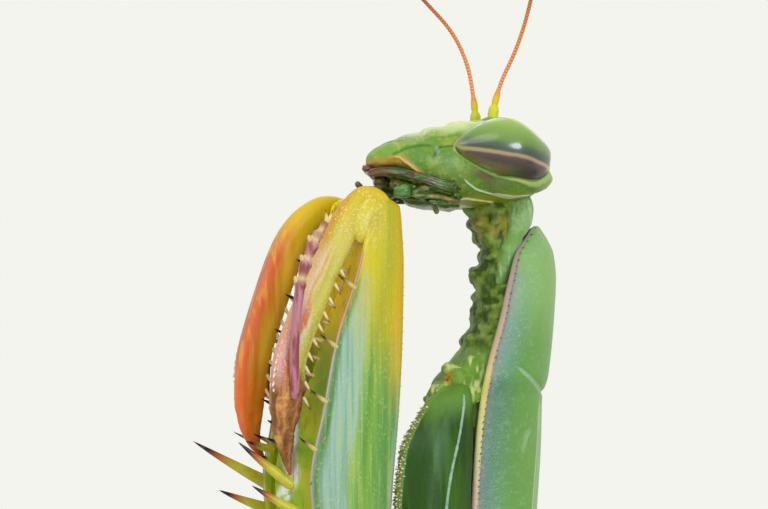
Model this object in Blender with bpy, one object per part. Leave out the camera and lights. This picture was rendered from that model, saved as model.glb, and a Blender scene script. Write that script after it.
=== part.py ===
"""Praying mantis, adult female, standing reared up with its forelegs folded.

Metres, +Z up, the floor at Z = 0. Each piece is drawn in millimetres in a frame
whose X runs forward, Y to the animal's left and Z up; mesh_of() scales it. The
animal as a whole is turned so that it faces -X, with its left side towards -Y.
"""

import math

import bmesh
import bpy
from mathutils import Matrix, Vector

MM = 0.001
GAP = 0.25  # between neighbouring solids
SIDES = {"left": 1, "right": -1}

# Heights above the floor and the reared prothorax
PROTHORAX_BASE = 14.6
PRONOTUM_LENGTH = 19.4
PRONOTUM_SHELL = 0.3  # share of the arch's height that is shield
PROTHORAX_LENGTH = 16.3
NECK_LEVELS = (16.6, 20.15)

# Head, in a frame whose X runs to the mouth and Z out of the face
HEAD_BACK = 0.02
HEAD_HEIGHT = 36.6
HEAD_TURN = 23.0  # degrees, mouth swung to the animal's left
HEAD_TILT = 5.0  # degrees, left eye held higher
HEAD_SPAN = (-2.05, 5.1)  # crown to the lip
MOUTH_SPAN = (1.55, 5.25)
EYE_CENTRE = Vector((0.42, 2.5, 0.27))
EYE_HALF = Vector((2.02, 1.4, 1.25))
EYE_TAPER = 0.16
SOCKET = Vector((-0.15, 0.95, 1.64))  # of an antenna
ANTENNA_LENGTH = 24.0
ANTENNA_THICK = 0.5
PALP_THICK = 0.52

# Forelegs, in a frame that stands on the floor under the coxal joint
FORE_JOINT_BACK = -1.2
FORE_JOINT_OUT = 1.95
FORE_JOINT_HEIGHT = 27.9
FORE_TURN = 20.0  # degrees, both legs swung to the animal's left
FAR_REACH = 1.2  # the right leg is held this much further forward
COXA_LENGTH = 9.4
FEMUR_SPAN = (19.9, 35.6)  # base to knee
TIBIA_SPAN = (24.65, 35.45)  # claw tip to knee
OUTER_FEMUR_SPINES = (25.47, 27.3, 29.4, 31.67)
INNER_FEMUR_SPINES = 11
TIBIA_SPINES = 7

# Body behind the prothorax
BACK_START = (3.0, 14.3)  # the back line's distance back and height at its front
BACK_SLOPE = -0.2
WINGS = (3.4, 39.0)
ABDOMEN = (10.9, 36.6)
ABDOMEN_SEGMENTS = 9
SHEET = 0.5  # thickness of a folded wing
WING_STEP = 0.75  # from one folded wing to the next

# Walking legs
THICK_FEMUR = {"mid": 1.25, "hind": 1.5}
THIN_FEMUR = 0.8
TIBIA_THICK = 0.62
TARSUS_THICK = 0.56
TARSOMERES = (0.42, 0.17, 0.12, 0.09, 0.20)  # shares of the tarsus
CLAW = 0.9

# colour and roughness of each kind of surface
FINISHES = {
    "cuticle": ((0.23, 0.42, 0.07), 0.35),
    "membrane": ((0.2, 0.3, 0.06), 0.5),
    "eye": ((0.12, 0.16, 0.05), 0.2),
    "foreleg": ((0.5, 0.5, 0.04), 0.35),
    "tibia": ((0.6, 0.26, 0.04), 0.4),
    "tarsus": ((0.3, 0.07, 0.05), 0.5),
    "antenna": ((0.4, 0.13, 0.03), 0.5),
    "wing": ((0.22, 0.4, 0.08), 0.5),
    "leg": ((0.25, 0.42, 0.08), 0.4),
}

# level above the rear end: distances back of the side margin and of the keel, half width
PRONOTUM = (
    (0.0, -1.0, 1.75, 2.15),
    (2.0, -0.85, 1.85, 1.75),
    (8.4, -0.42, 2.3, 1.7),
    (11.2, -0.28, 2.47, 1.9),
    (12.8, -0.12, 2.5, 2.2),
    (13.7, 0.02, 2.72, 2.5),
    (15.9, 0.62, 2.92, 2.25),
    (17.4, 0.98, 2.98, 2.0),
    (18.4, 1.3, 2.9, 1.6),
    (19.0, 1.75, 2.7, 1.0),
    (19.4, 2.12, 2.36, 0.35),
)
# level: distance back of the breast line, how full it is
BREAST = (
    (0.0, -1.5, 0.75),
    (8.4, -1.35, 0.55),
    (12.0, -1.7, 0.5),
    (13.4, -1.9, 0.55),
    (14.3, -1.25, 0.7),
    (15.2, -0.5, 0.78),
    (16.4, -0.35, 0.82),
)
# level: distances back of the throat and the nape, half width
NECK = (
    (16.6, -0.35, 0.5, 1.5),
    (17.8, -0.28, 0.75, 1.4),
    (18.6, -0.12, 1.15, 1.35),
    (19.5, -0.45, 1.85, 1.4),
    (20.15, -0.85, 2.05, 1.45),
)
# towards the mouth: half width, face side, neck side
HEAD = (
    (-2.05, 1.8, 0.45, -0.75),
    (-1.7, 2.85, 1.0, -1.35),
    (-0.7, 3.15, 1.55, -1.62),
    (0.6, 3.0, 1.6, -1.62),
    (1.6, 2.65, 1.36, -1.2),
    (2.2, 2.3, 1.08, -0.85),
    (3.6, 1.7, 0.93, -0.3),
    (4.5, 1.3, 0.62, -0.15),
    (5.1, 0.8, 0.15, -0.12),
)
MOUTH = (
    (1.55, 0.9, -1.5, -2.0),
    (2.3, 1.35, -1.1, -1.95),
    (3.2, 1.3, -0.7, -1.7),
    (4.1, 1.05, -0.5, -1.35),
    (4.9, 0.7, -0.45, -1.0),
    (5.25, 0.4, -0.5, -0.8),
)
PALPS = (
    ((2.8, 1.1, -1.2), (2.9, 1.7, -1.5), (2.3, 2.0, -1.95), (1.6, 1.9, -2.3)),
    ((2.2, 0.6, -1.7), (2.6, 0.9, -2.2), (2.0, 1.0, -2.6)),
)
# share of the length: lean from straight up in degrees; then the way it leans
ANTENNA_LEAN = {
    "left": ((0.0, 6), (0.04, 20), (0.09, 33), (0.19, 19), (0.4, 17), (1.0, 34)),
    "right": ((0.0, 0), (0.08, 8), (0.2, 41), (0.45, 44), (1.0, 60)),
}
ANTENNA_AWAY = {"left": Vector((-0.5, 0.87, 0)), "right": Vector((0.6, -0.8, 0))}
# height: how far forward the back and belly edges lie, thickness
FORE_FEMUR = (
    (19.9, 3.7, 5.0, 1.1),
    (21.0, 3.1, 6.0, 1.5),
    (23.0, 2.8, 6.5, 1.8),
    (24.3, 2.7, 6.6, 1.8),
    (27.0, 2.45, 6.05, 1.7),
    (29.7, 2.3, 5.45, 1.5),
    (32.5, 2.25, 4.45, 1.25),
    (34.3, 2.4, 4.05, 1.1),
    (35.1, 2.6, 4.05, 1.05),
    (35.6, 3.0, 3.95, 0.7),
)
FORE_TIBIA = (
    (24.65, 7.0, 7.06, 0.1),
    (25.7, 7.02, 7.55, 0.4),
    (26.6, 6.98, 7.8, 0.6),
    (27.4, 6.75, 8.0, 0.85),
    (29.2, 6.45, 7.95, 0.95),
    (31.5, 5.65, 7.05, 0.95),
    (33.5, 4.85, 6.3, 0.95),
    (34.8, 4.33, 5.5, 0.95),
    (35.45, 4.3, 4.9, 0.7),
)
# level under the joint: distance forward, half depth, half thickness
FORE_COXA = (
    (-9.4, 0.9, 0.75, 0.8),
    (-8.0, 0.95, 1.1, 0.95),
    (-4.9, 0.93, 1.5, 1.0),
    (-2.5, 0.78, 1.38, 0.98),
    (-1.5, 0.6, 1.12, 0.9),
    (-0.5, 0.3, 0.75, 0.75),
    (0.15, 0.3, 0.55, 0.55),
)
# forward, outward, height: then half size in the bend's plane and across it
TROCHANTER = (
    (1.05, 0.1, 18.0, 0.5, 0.6),
    (1.6, 0.08, 17.3, 0.5, 0.7),
    (2.6, 0.05, 16.95, 0.52, 0.75),
    (3.6, 0.02, 17.35, 0.52, 0.74),
    (4.2, 0.0, 18.25, 0.55, 0.7),
    (4.35, 0.0, 19.35, 0.6, 0.62),
)
# forward, outward, height, thickness
FORE_TARSUS = (
    (7.3, 1.03, 28.0, 0.54),
    (7.38, 1.08, 30.0, 0.5),
    (7.35, 1.08, 32.4, 0.6),
    (6.95, 1.1, 33.2, 0.52),
    (6.75, 1.1, 33.8, 0.62),
    (6.3, 1.1, 34.3, 0.54),
    (5.95, 1.1, 34.8, 0.5),
)
# height, length, rise in degrees, outward place
DISCOIDAL_SPINES = (
    (25.4, 1.3, 24, -0.72),
    (24.1, 2.9, 36, -0.5),
    (23.1, 1.9, 24, -0.35),
    (22.2, 1.0, 12, -0.15),
)
FAR_SPINE_DROP = 10  # degrees, the right leg's are held lower
# distance back: half width and half height of the body under the wings
BODY = (
    (3.0, 2.6, 2.4),
    (7.0, 2.9, 2.6),
    (10.5, 2.6, 2.3),
    (15.0, 3.4, 2.6),
    (22.0, 4.0, 2.8),
    (29.0, 3.5, 2.4),
    (34.0, 2.2, 1.4),
    (36.6, 0.9, 0.55),
)
# distance back, height, half width, half height, tilt of the section in degrees
THORAX_FRONT = ((-0.05, 14.2, 1.7, 1.15, 88), (0.25, 13.3, 1.9, 1.45, 62), (1.3, 12.4, 2.2, 2.0, 32))
# distance back, distance out, height, thickness
CERCUS = ((36.2, 1.35, 7.0, 0.8), (37.6, 1.9, 6.9, 0.85), (39.2, 2.6, 6.95, 0.68), (40.6, 3.3, 7.2, 0.52))
# hip, trochanter, knee, ankle and toe, each distance back, distance out and height
WALKING_LEGS = {
    "mid": ((2.3, 1.62, 10.45), (1.2, 4.4, 7.6), (-6.2, 14.4, 11.6), (-9.2, 17.6, 1.15), (-12.6, 21.4, 0.0)),
    "hind": ((7.6, 1.98, 8.95), (8.8, 4.6, 6.5), (17.6, 14.8, 13.6), (26.2, 21.8, 1.15), (31.2, 25.6, 0.0)),
}
# wing: edges as angles out from straight up, layer in the stack
FOLDED_WINGS = {
    "hindwing_left": (1, 62, 4, 0),
    "hindwing_right": (-1, 62, 4, 0),
    "tegmen_right": (-1, 84, -34, 1),
    "tegmen_left": (1, 84, -34, 2),
}


def eased(table, at):
    """A table's row at this value of its first column, eased between its rows."""
    for low, high in zip(table, table[1:]):
        if at <= high[0]:
            t = max(0.0, (at - low[0]) / (high[0] - low[0]))
            t = 0.5 * t + 0.5 * t * t * (3 - 2 * t)
            return tuple(a + (b - a) * t for a, b in zip(low[1:], high[1:]))
    return table[-1][1:]


def spaced(span, count):
    first, last = span
    return [first + (last - first) * i / (count - 1) for i in range(count)]


def point(back, left, up):
    return Vector((-back, left, up))


# ---------------------------------------------------------------- making solids
def collection(name):
    made = bpy.data.collections.new(name)
    bpy.context.scene.collection.children.link(made)
    return made


def finish(name, kind):
    colour, roughness = FINISHES[kind]
    material = bpy.data.materials.new(name)
    material.use_nodes = True
    shader = material.node_tree.nodes["Principled BSDF"]
    shader.inputs["Base Color"].default_value = (*colour, 1)
    shader.inputs["Roughness"].default_value = roughness
    shader.inputs["Metallic"].default_value = 0.0
    return material


def node(name, bm, kind, parent):
    """The finished piece, shaded smooth, under the empty that holds its pose."""
    bmesh.ops.recalc_face_normals(bm, faces=bm.faces)
    mesh = bpy.data.meshes.new(name)
    bm.to_mesh(mesh)
    bm.free()
    mesh.shade_smooth()
    mesh.materials.append(finish(name, kind))
    obj = bpy.data.objects.new(name, mesh)
    obj.parent = parent
    PARTS.objects.link(obj)
    return obj


def helper(bm):
    """A hidden solid for a Boolean."""
    bmesh.ops.recalc_face_normals(bm, faces=bm.faces)
    mesh = bpy.data.meshes.new("helper")
    bm.to_mesh(mesh)
    bm.free()
    obj = bpy.data.objects.new("helper", mesh)
    obj.hide_render = True
    obj.display_type = "WIRE"
    HELPERS.objects.link(obj)
    return obj


def combine(obj, others, operation):
    """Joins the helpers to obj, or cuts them from it, with its pose set aside meanwhile."""
    parent, obj.parent = obj.parent, None
    for other in others:
        change = obj.modifiers.new("combine", "BOOLEAN")
        change.operation, change.solver, change.object = operation, "EXACT", other
        graph = bpy.context.evaluated_depsgraph_get()
        mesh = bpy.data.meshes.new_from_object(obj.evaluated_get(graph))
        obj.modifiers.clear()
        obj.data = mesh
        bpy.data.objects.remove(other)
    obj.parent = parent


def oval(centre, across, up, half_across, half_up, count, fullness=1.0):
    """A ring of points; a fullness under 1 fills its corners."""
    ring = []
    for i in range(count):
        a = math.tau * (i + 0.5) / count
        c, s = (math.copysign(abs(v) ** fullness, v) for v in (math.cos(a), math.sin(a)))
        ring.append(centre + across * (c * half_across) + up * (s * half_up))
    return ring


def loft(rings):
    """A closed body through rings of equal count."""
    bm = bmesh.new()
    rows = [[bm.verts.new(p * MM) for p in ring] for ring in rings]
    for low, high in zip(rows, rows[1:]):
        for i in range(len(low)):
            j = (i + 1) % len(low)
            bm.faces.new((low[i], low[j], high[j], high[i]))
    for end in (rows[0], rows[-1]):
        bm.faces.new(end)
    bmesh.ops.triangulate(bm, faces=bm.faces)
    return bm


def tube(path, sides=6):
    """A round bar through (point, thickness) pairs, its ends rounded off."""
    points = [Vector(p) for p, _ in path]
    sizes = [thick / 2 for _, thick in path]
    for end, beside in ((0, 1), (-1, -2)):
        out = (points[end] - points[beside]).normalized() * sizes[end] * 0.45
        where = 0 if end == 0 else len(points)
        points.insert(where, points[end] + out)
        sizes.insert(where, sizes[end] * 0.6)
    curve = bpy.data.curves.new("tube", "CURVE")
    curve.dimensions = "3D"
    curve.bevel_depth = MM
    curve.bevel_resolution = sides // 2 - 2
    curve.use_fill_caps = True
    spline = curve.splines.new("POLY")
    spline.points.add(len(points) - 1)
    for place, p, size in zip(spline.points, points, sizes):
        place.co = (*(p * MM), 1)
        place.radius = size
    obj = bpy.data.objects.new("tube", curve)
    HELPERS.objects.link(obj)
    graph = bpy.context.evaluated_depsgraph_get()
    mesh = bpy.data.meshes.new_from_object(obj.evaluated_get(graph))
    bpy.data.objects.remove(obj)
    bm = bmesh.new()
    bm.from_mesh(mesh)
    bmesh.ops.remove_doubles(bm, verts=bm.verts, dist=1e-6)
    return bm


def thorn(base, direction, length, thick, sides=4):
    """A spine, its foot sunk a little into what it grows from."""
    foot = 0.3
    bm = bmesh.new()
    bmesh.ops.create_cone(
        bm, cap_ends=True, segments=sides, radius1=thick / 2 * MM, radius2=0, depth=(length + foot) * MM
    )
    direction = Vector(direction).normalized()
    turn = direction.to_track_quat("Z", "Y").to_matrix().to_4x4()
    middle = Vector(base) + direction * (length - foot) / 2
    bmesh.ops.transform(bm, matrix=Matrix.Translation(middle * MM) @ turn, verts=bm.verts)
    return bm


def pose(name, parent, place=(0, 0, 0), turn=0.0, tilt=0.0):
    """An empty that holds a frame: turned to the left about Z, then tilted about its own X."""
    empty = bpy.data.objects.new(name, None)
    empty.parent = parent
    empty.location = Vector(place) * MM
    empty.rotation_euler = (math.radians(tilt), 0, math.radians(turn))
    PARTS.objects.link(empty)
    return empty


# ---------------------------------------------------------------- prothorax and neck
def pronotum(parent):
    """The shield: an arch with a low keel and sharp side margins, hollow underneath."""
    half = 8
    rings = []
    for level in spaced((0.0, PRONOTUM_LENGTH), 16):
        margin, keel, width = eased(PRONOTUM, level)
        rise = keel - margin
        up = PROTHORAX_BASE + level
        ring = []
        for i in range(half + 1):
            t = math.pi * i / half
            ridge = 0.06 * math.exp(-(((t - math.pi / 2) * 5) ** 2))
            ring.append(point(margin + rise * (0.94 * math.sin(t) ** 0.8 + ridge), width * math.cos(t), up))
        for i in range(half - 1, 0, -1):
            t = math.pi * i / half
            inner = rise * (1 - PRONOTUM_SHELL) * math.sin(t) ** 0.9
            ring.append(point(margin + inner, (width - 0.12) * math.cos(t), up))
        rings.append(ring)
    node("pronotum", loft(rings), "cuticle", parent)


def prothorax(parent):
    """The body under the shield, keeled between the fore coxae."""
    count = 14
    rings = []
    for level in spaced((0.15, PROTHORAX_LENGTH), 11):
        margin, keel, width = eased(PRONOTUM, level)
        breast, fullness = eased(BREAST, level)
        rise = (keel - margin) * (1 - PRONOTUM_SHELL) - GAP
        middle = margin - GAP
        ring = []
        for i in range(count):
            a = math.tau * (i + 0.5) / count
            c, s = math.cos(a), math.sin(a)
            if s < 0:
                c = math.copysign(abs(c) ** (1 / fullness), c)
            back = middle + s * (rise if s > 0 else middle - breast)
            ring.append(point(back, (width - 0.42) * c, PROTHORAX_BASE + level))
        rings.append(ring)
    node("prothorax", loft(rings), "membrane", parent)


def neck(parent):
    rings = []
    for level in spaced(NECK_LEVELS, 6):
        throat, nape, width = eased(NECK, level)
        centre = point((throat + nape) / 2, 0, PROTHORAX_BASE + level)
        rings.append(oval(centre, Vector((0, 1, 0)), Vector((-1, 0, 0)), width, (nape - throat) / 2, 12))
    node("neck", loft(rings), "membrane", parent)


# ---------------------------------------------------------------- head
def eye(side, swell=0.0):
    """A teardrop with its point towards the mouth, swollen when it cuts its own socket."""
    bm = bmesh.new()
    bmesh.ops.create_uvsphere(bm, u_segments=12, v_segments=9, radius=1)
    for vertex in bm.verts:
        along, out, up = vertex.co.z, vertex.co.x, vertex.co.y
        taper = 1 - EYE_TAPER * along
        vertex.co = MM * Vector(
            (
                EYE_CENTRE.x + along * (EYE_HALF.x + swell),
                side * (EYE_CENTRE.y - 0.18 * along + out * taper * (EYE_HALF.y + swell)),
                EYE_CENTRE.z + 0.12 * along + up * taper * (EYE_HALF.z + swell),
            )
        )
    return bm


def section_loft(table, span, stations, count):
    """A body through flattened sections along X, each with its own top and bottom."""
    rings = []
    for at in spaced(span, stations):
        half, top, low = eased(table, at)
        centre = Vector((at, 0, (top + low) / 2))
        rings.append(oval(centre, Vector((0, 1, 0)), Vector((0, 0, 1)), half, (top - low) / 2, count, 0.85))
    return loft(rings)


def head(parent):
    capsule = node("head", section_loft(HEAD, HEAD_SPAN, 12, 14), "cuticle", parent)
    combine(capsule, [helper(eye(side, GAP)) for side in SIDES.values()], "DIFFERENCE")


def mouthparts(parent):
    core = node("mouthparts", section_loft(MOUTH, MOUTH_SPAN, 7, 12), "cuticle", parent)
    palps = [
        helper(tube([((x, side * y, z), PALP_THICK) for x, y, z in path]))
        for side in SIDES.values()
        for path in PALPS
    ]
    combine(core, palps, "UNION")


def antenna(word, side, parent):
    """Scape, pedicel and a long flagellum that rises and leans away."""
    leans, away = ANTENNA_LEAN[word], ANTENNA_AWAY[word]
    steps = 44
    kept = (1, 3, 5, 8, 11, 15, 20, 26, 32, 38, 44)
    at = Vector((SOCKET.x, side * SOCKET.y, SOCKET.z + GAP))
    path = [(at, ANTENNA_THICK * 1.3)]
    for i in range(1, steps + 1):
        lean = math.radians(eased(leans, i / steps)[0])
        at = at + (Vector((0, 0, math.cos(lean))) + away * math.sin(lean)) * ANTENNA_LENGTH / steps
        if i in kept:
            path.append((at, ANTENNA_THICK * (1.3 if i == 1 else 1.0)))
    node(f"antenna_{word}", tube(path), "antenna", parent)


# ---------------------------------------------------------------- forelegs
def blade(table, span, stations, count):
    """A flattened upright leg segment between its back and belly edges."""
    rings = []
    for up in spaced(span, stations):
        back, belly, thick = eased(table, up)
        centre = Vector(((back + belly) / 2, 0, up))
        depth = (belly - back) / 2
        rings.append(oval(centre, Vector((0, 1, 0)), Vector((1, 0, 0)), thick / 2, depth, count, 0.9))
    return loft(rings)


def fore_coxa(word, side, reach, parent):
    out = 0.4 if reach else 0.1
    rings = []
    for level in spaced((-COXA_LENGTH, 0.15), 9):
        forward, half, thick = eased(FORE_COXA, level)
        forward += (reach * (level / COXA_LENGTH) ** 2 - 0.3 - reach) if reach else 0.0
        centre = Vector((forward, side * out, FORE_JOINT_HEIGHT + level))
        rings.append(oval(centre, Vector((0, 1, 0)), Vector((1, 0, 0)), thick, half, 12))
    node(f"fore_coxa_{word}", loft(rings), "cuticle", parent)


def fore_trochanter(word, side, parent):
    """The short bend between coxa and femur."""
    rings = []
    for i, (forward, out, up, half, thick) in enumerate(TROCHANTER):
        before, after = TROCHANTER[max(i - 1, 0)], TROCHANTER[min(i + 1, len(TROCHANTER) - 1)]
        along = Vector((after[0] - before[0], 0, after[2] - before[2])).normalized()
        inward = along.cross(Vector((0, 1, 0)))
        rings.append(oval(Vector((forward, side * out, up)), inward, Vector((0, 1, 0)), half, thick, 8))
    node(f"fore_trochanter_{word}", loft(rings), "cuticle", parent)


def fore_femur(word, side, drop, parent):
    femur = node(f"fore_femur_{word}", blade(FORE_FEMUR, FEMUR_SPAN, 12, 10), "foreleg", parent)
    spines = []
    for up in OUTER_FEMUR_SPINES:
        _, belly, thick = eased(FORE_FEMUR, up)
        spines.append(thorn((belly - 0.35, side * thick * 0.36, up), (0.75, side * 0.4, 0.5), 0.95, 0.32))
    for i, up in enumerate(spaced((24.9, 33.0), INNER_FEMUR_SPINES)):
        _, belly, thick = eased(FORE_FEMUR, up)
        length = 0.95 if i % 2 else 0.7
        spines.append(thorn((belly - 0.35, -side * thick * 0.38, up), (0.8, -side * 0.3, 0.35), length, 0.26))
    for up, length, rise, out in DISCOIDAL_SPINES:
        _, belly, _ = eased(FORE_FEMUR, up)
        rise = math.radians(rise - drop)
        way = (math.cos(rise), -0.08 * side, math.sin(rise))
        spines.append(thorn((belly - 0.12, side * out, up), way, length, 0.48, 6))
    combine(femur, [helper(spine) for spine in spines], "UNION")


def fore_tibia(word, side, parent):
    """The folding blade, ending in its claw, with a row of spines on each side of its inner edge."""
    tibia = node(f"fore_tibia_{word}", blade(FORE_TIBIA, TIBIA_SPAN, 12, 8), "tibia", parent)
    spines = []
    for up in spaced((27.6, 32.6), TIBIA_SPINES):
        back, _, thick = eased(FORE_TIBIA, up)
        for out in (-1, 1):
            spines.append(thorn((back + 0.2, out * thick * 0.3, up), (-0.62, out * 0.25, -0.6), 0.55, 0.24))
    combine(tibia, [helper(spine) for spine in spines], "UNION")


def fore_tarsus(word, side, tuck, parent):
    path = []
    for forward, out, up, thick in FORE_TARSUS:
        if tuck:  # lies closer behind its tibia
            forward -= 0.8 + 0.18 * (up - FORE_TARSUS[0][2])
        path.append((Vector((forward, side * out, up)), thick))
    node(f"fore_tarsus_{word}", tube(path), "tarsus", parent)


def foreleg(word, side, stance):
    far = side == SIDES["right"]
    reach = FAR_REACH if far else 0.0
    turn = math.radians(FORE_TURN)
    joint = point(FORE_JOINT_BACK, side * FORE_JOINT_OUT, 0)
    ahead = Vector((math.cos(turn), math.sin(turn), 0))
    parent = pose(f"foreleg_{word}_pose", stance, joint + ahead * reach, FORE_TURN)
    fore_coxa(word, side, reach, parent)
    fore_trochanter(word, side, parent)
    fore_femur(word, side, FAR_SPINE_DROP if far else 0, parent)
    fore_tibia(word, side, parent)
    fore_tarsus(word, side, far, parent)


# ---------------------------------------------------------------- body and wings
def back_line(back):
    return BACK_START[1] + BACK_SLOPE * (back - BACK_START[0])


def body_ring(back, half_width, half_height, count, fullness=1.0):
    """A section that hangs just under the back line."""
    up = Vector((-BACK_SLOPE, 0, 1)).normalized()
    centre = point(back, 0, back_line(back) - 0.1 - half_height)
    return oval(centre, Vector((0, 1, 0)), up, half_width, half_height, count, fullness)


def pterothorax(parent):
    """The middle and hind thorax, its front turned up to meet the prothorax."""
    rings = []
    for back, up, half_width, half_height, tilt in THORAX_FRONT:
        tilt = math.radians(tilt)
        way = Vector((-math.sin(tilt), 0, math.cos(tilt)))
        rings.append(oval(point(back, 0, up), Vector((0, 1, 0)), way, half_width, half_height, 14))
    for back in spaced((3.2, 10.5), 7):
        half_width, half_height = eased(BODY, back)
        rings.append(body_ring(back, half_width, half_height - 0.1, 14, 0.92))
    node("pterothorax", loft(rings), "cuticle", parent)


def abdomen(parent):
    """Each segment is a little wider at its hind edge."""
    rings = []
    step = (ABDOMEN[1] - ABDOMEN[0]) / ABDOMEN_SEGMENTS
    for i in range(ABDOMEN_SEGMENTS):
        start = ABDOMEN[0] + step * i
        for back, swell in ((start + 0.15, -0.12), (start + step - 0.15, 0.06)):
            half_width, half_height = eased(BODY, back)
            rings.append(body_ring(back, half_width + swell, half_height + swell / 2, 12))
    node("abdomen", loft(rings), "cuticle", parent)


def cercus(word, side, parent):
    path = [(point(back, side * out, up), thick) for back, out, up, thick in CERCUS]
    node(f"cercus_{word}", tube(path), "leg", parent)


def wing(name, parent):
    """A folded wing arched over the body, rounded off at its tip."""
    side, outer, inner, layer = FOLDED_WINGS[name]
    stations, across = 13, 6
    lift = 0.65 + layer * WING_STEP
    rings = []
    for i in range(stations):
        u = i / (stations - 1)
        back = WINGS[0] + (WINGS[1] - WINGS[0]) * u
        half_width, half_height = eased(BODY, min(back, 30.0))
        half_width *= 1 - 0.25 * max(0.0, u - 0.7) / 0.3
        rounding = math.sqrt(max(0.0, 1 - ((u - 0.72) / 0.285) ** 2)) if u > 0.72 else 1.0
        spread = max(0.16, min(1.0, 0.4 + u * 5.5) * rounding)
        base = back_line(back) - half_height
        edges = {SHEET / 2: [], -SHEET / 2: []}
        for k in range(across):
            angle = (outer + (inner - outer) * k / (across - 1)) * spread + 12 * (1 - spread)
            angle = math.radians(angle)
            for half, row in edges.items():
                left = side * (half_width + lift + half) * math.sin(angle)
                row.append(point(back, left, base + (half_height + lift + half) * math.cos(angle)))
        top, low = edges.values()
        rings.append(top + low[::-1])
    node(name, loft(rings), "wing", parent)


# ---------------------------------------------------------------- walking legs
def stretch(start, end, before, after, sizes, bow=0.0):
    """Points from start to end, held back from each, with a slight upward bow."""
    along = (end - start).normalized()
    first, last = start + along * before, end - along * after
    count = len(sizes) - 1
    return [
        (first.lerp(last, i / count) + Vector((0, 0, bow * math.sin(math.pi * i / count))), size)
        for i, size in enumerate(sizes)
    ]


def walking_tarsus(name, ankle, toe, parent):
    """Five short joints down to the floor, then two claws; the sole is flat on the floor."""
    flat = Vector((toe.x - ankle.x, toe.y - ankle.y, 0))
    path, walked = [], 0.0
    for share in TARSOMERES:
        for t, swell in ((0.08, 0.9), (0.88, 1.15)):
            s = walked + share * t
            height = TARSUS_THICK * 0.4 + max(0.0, 0.75 * (1 - s / 0.3))
            place = Vector((ankle.x, ankle.y, height)) + flat * (0.09 + 0.91 * s)
            path.append((place, TARSUS_THICK * swell))
        walked += share
    tarsus = node(name, tube(path), "leg", parent)
    ahead = flat.normalized()
    beside = Vector((-ahead.y, ahead.x, 0))
    claws = []
    for s in SIDES.values():
        way = ahead + beside * s * 0.5 + Vector((0, 0, 0.05))
        claws.append(helper(thorn(path[-1][0] + beside * s * 0.12, way, CLAW, 0.48, 5)))
    combine(tarsus, claws, "UNION")
    for vertex in tarsus.data.vertices:
        vertex.co.z = max(vertex.co.z, 0.0)


def walking_leg(pair, word, side, parent):
    hip, root, knee, ankle, toe = (point(back, side * out, up) for back, out, up in WALKING_LEGS[pair])
    hip += (root - hip).normalized() * 0.6
    coxa = [(hip, 2.1), (hip.lerp(root, 0.5), 1.8), (root, 1.2)]
    node(f"{pair}_coxa_{word}", tube(coxa, 8), "leg", parent)
    thick = THICK_FEMUR[pair]
    sizes = (thick * 0.7, thick, thick * 0.95, THIN_FEMUR, THIN_FEMUR * 0.85, THIN_FEMUR * 1.1)
    node(f"{pair}_femur_{word}", tube(stretch(root, knee, 0.95, 0.1, sizes, 0.35), 8), "leg", parent)
    sizes = [TIBIA_THICK * share for share in (1.1, 1.0, 1.0, 1.15)]
    node(f"{pair}_tibia_{word}", tube(stretch(knee, ankle, 0.95, 0.1, sizes)), "leg", parent)
    walking_tarsus(f"{pair}_tarsus_{word}", ankle, toe, parent)


# ---------------------------------------------------------------- the whole animal
def centre_over_origin(stance):
    """Moves the animal so that its box stands centred over the origin."""
    bpy.context.view_layer.update()
    points = [o.matrix_world @ v.co for o in PARTS.objects if o.type == "MESH" for v in o.data.vertices]
    for axis in (0, 1):
        values = [p[axis] for p in points]
        stance.location[axis] -= (min(values) + max(values)) / 2


def mantis():
    stance = pose("stance", None, turn=180)
    pronotum(stance)
    prothorax(stance)
    neck(stance)
    skull = pose("head_pose", stance, point(HEAD_BACK, 0, HEAD_HEIGHT), HEAD_TURN, HEAD_TILT)
    head(skull)
    mouthparts(skull)
    pterothorax(stance)
    abdomen(stance)
    for word, side in SIDES.items():
        node(f"eye_{word}", eye(side), "eye", skull)
        antenna(word, side, skull)
        foreleg(word, side, stance)
        cercus(word, side, stance)
        for pair in WALKING_LEGS:
            walking_leg(pair, word, side, stance)
    for name in FOLDED_WINGS:
        wing(name, stance)
    centre_over_origin(stance)


for old in list(bpy.data.objects):
    bpy.data.objects.remove(old)
PARTS = collection("mantis")
HELPERS = collection("helpers")
mantis()
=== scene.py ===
"""Praying mantis, adult female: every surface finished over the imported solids.

Lengths are millimetres until a mesh is made. The stance frame runs forward, left
and up from under the prothorax; the head and each foreleg have frames of their own.
"""

import math

import bmesh
import bpy
import numpy as np
from mathutils import Matrix, Vector, noise


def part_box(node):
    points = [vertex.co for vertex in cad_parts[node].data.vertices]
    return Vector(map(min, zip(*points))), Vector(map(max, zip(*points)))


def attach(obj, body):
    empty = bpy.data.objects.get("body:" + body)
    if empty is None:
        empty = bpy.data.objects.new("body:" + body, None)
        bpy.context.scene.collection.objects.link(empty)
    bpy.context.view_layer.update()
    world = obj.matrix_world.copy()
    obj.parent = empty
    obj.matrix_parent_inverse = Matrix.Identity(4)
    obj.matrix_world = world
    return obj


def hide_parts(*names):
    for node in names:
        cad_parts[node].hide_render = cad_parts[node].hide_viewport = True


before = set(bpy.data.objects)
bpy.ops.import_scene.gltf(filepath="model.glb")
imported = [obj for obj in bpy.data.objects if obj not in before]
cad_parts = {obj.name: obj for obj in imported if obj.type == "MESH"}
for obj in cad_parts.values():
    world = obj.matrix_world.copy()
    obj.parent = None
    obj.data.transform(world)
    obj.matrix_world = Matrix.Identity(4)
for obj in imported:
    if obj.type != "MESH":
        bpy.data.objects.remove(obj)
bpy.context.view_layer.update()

MM = 0.001
SIDES = {"left": 1, "right": -1}

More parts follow.
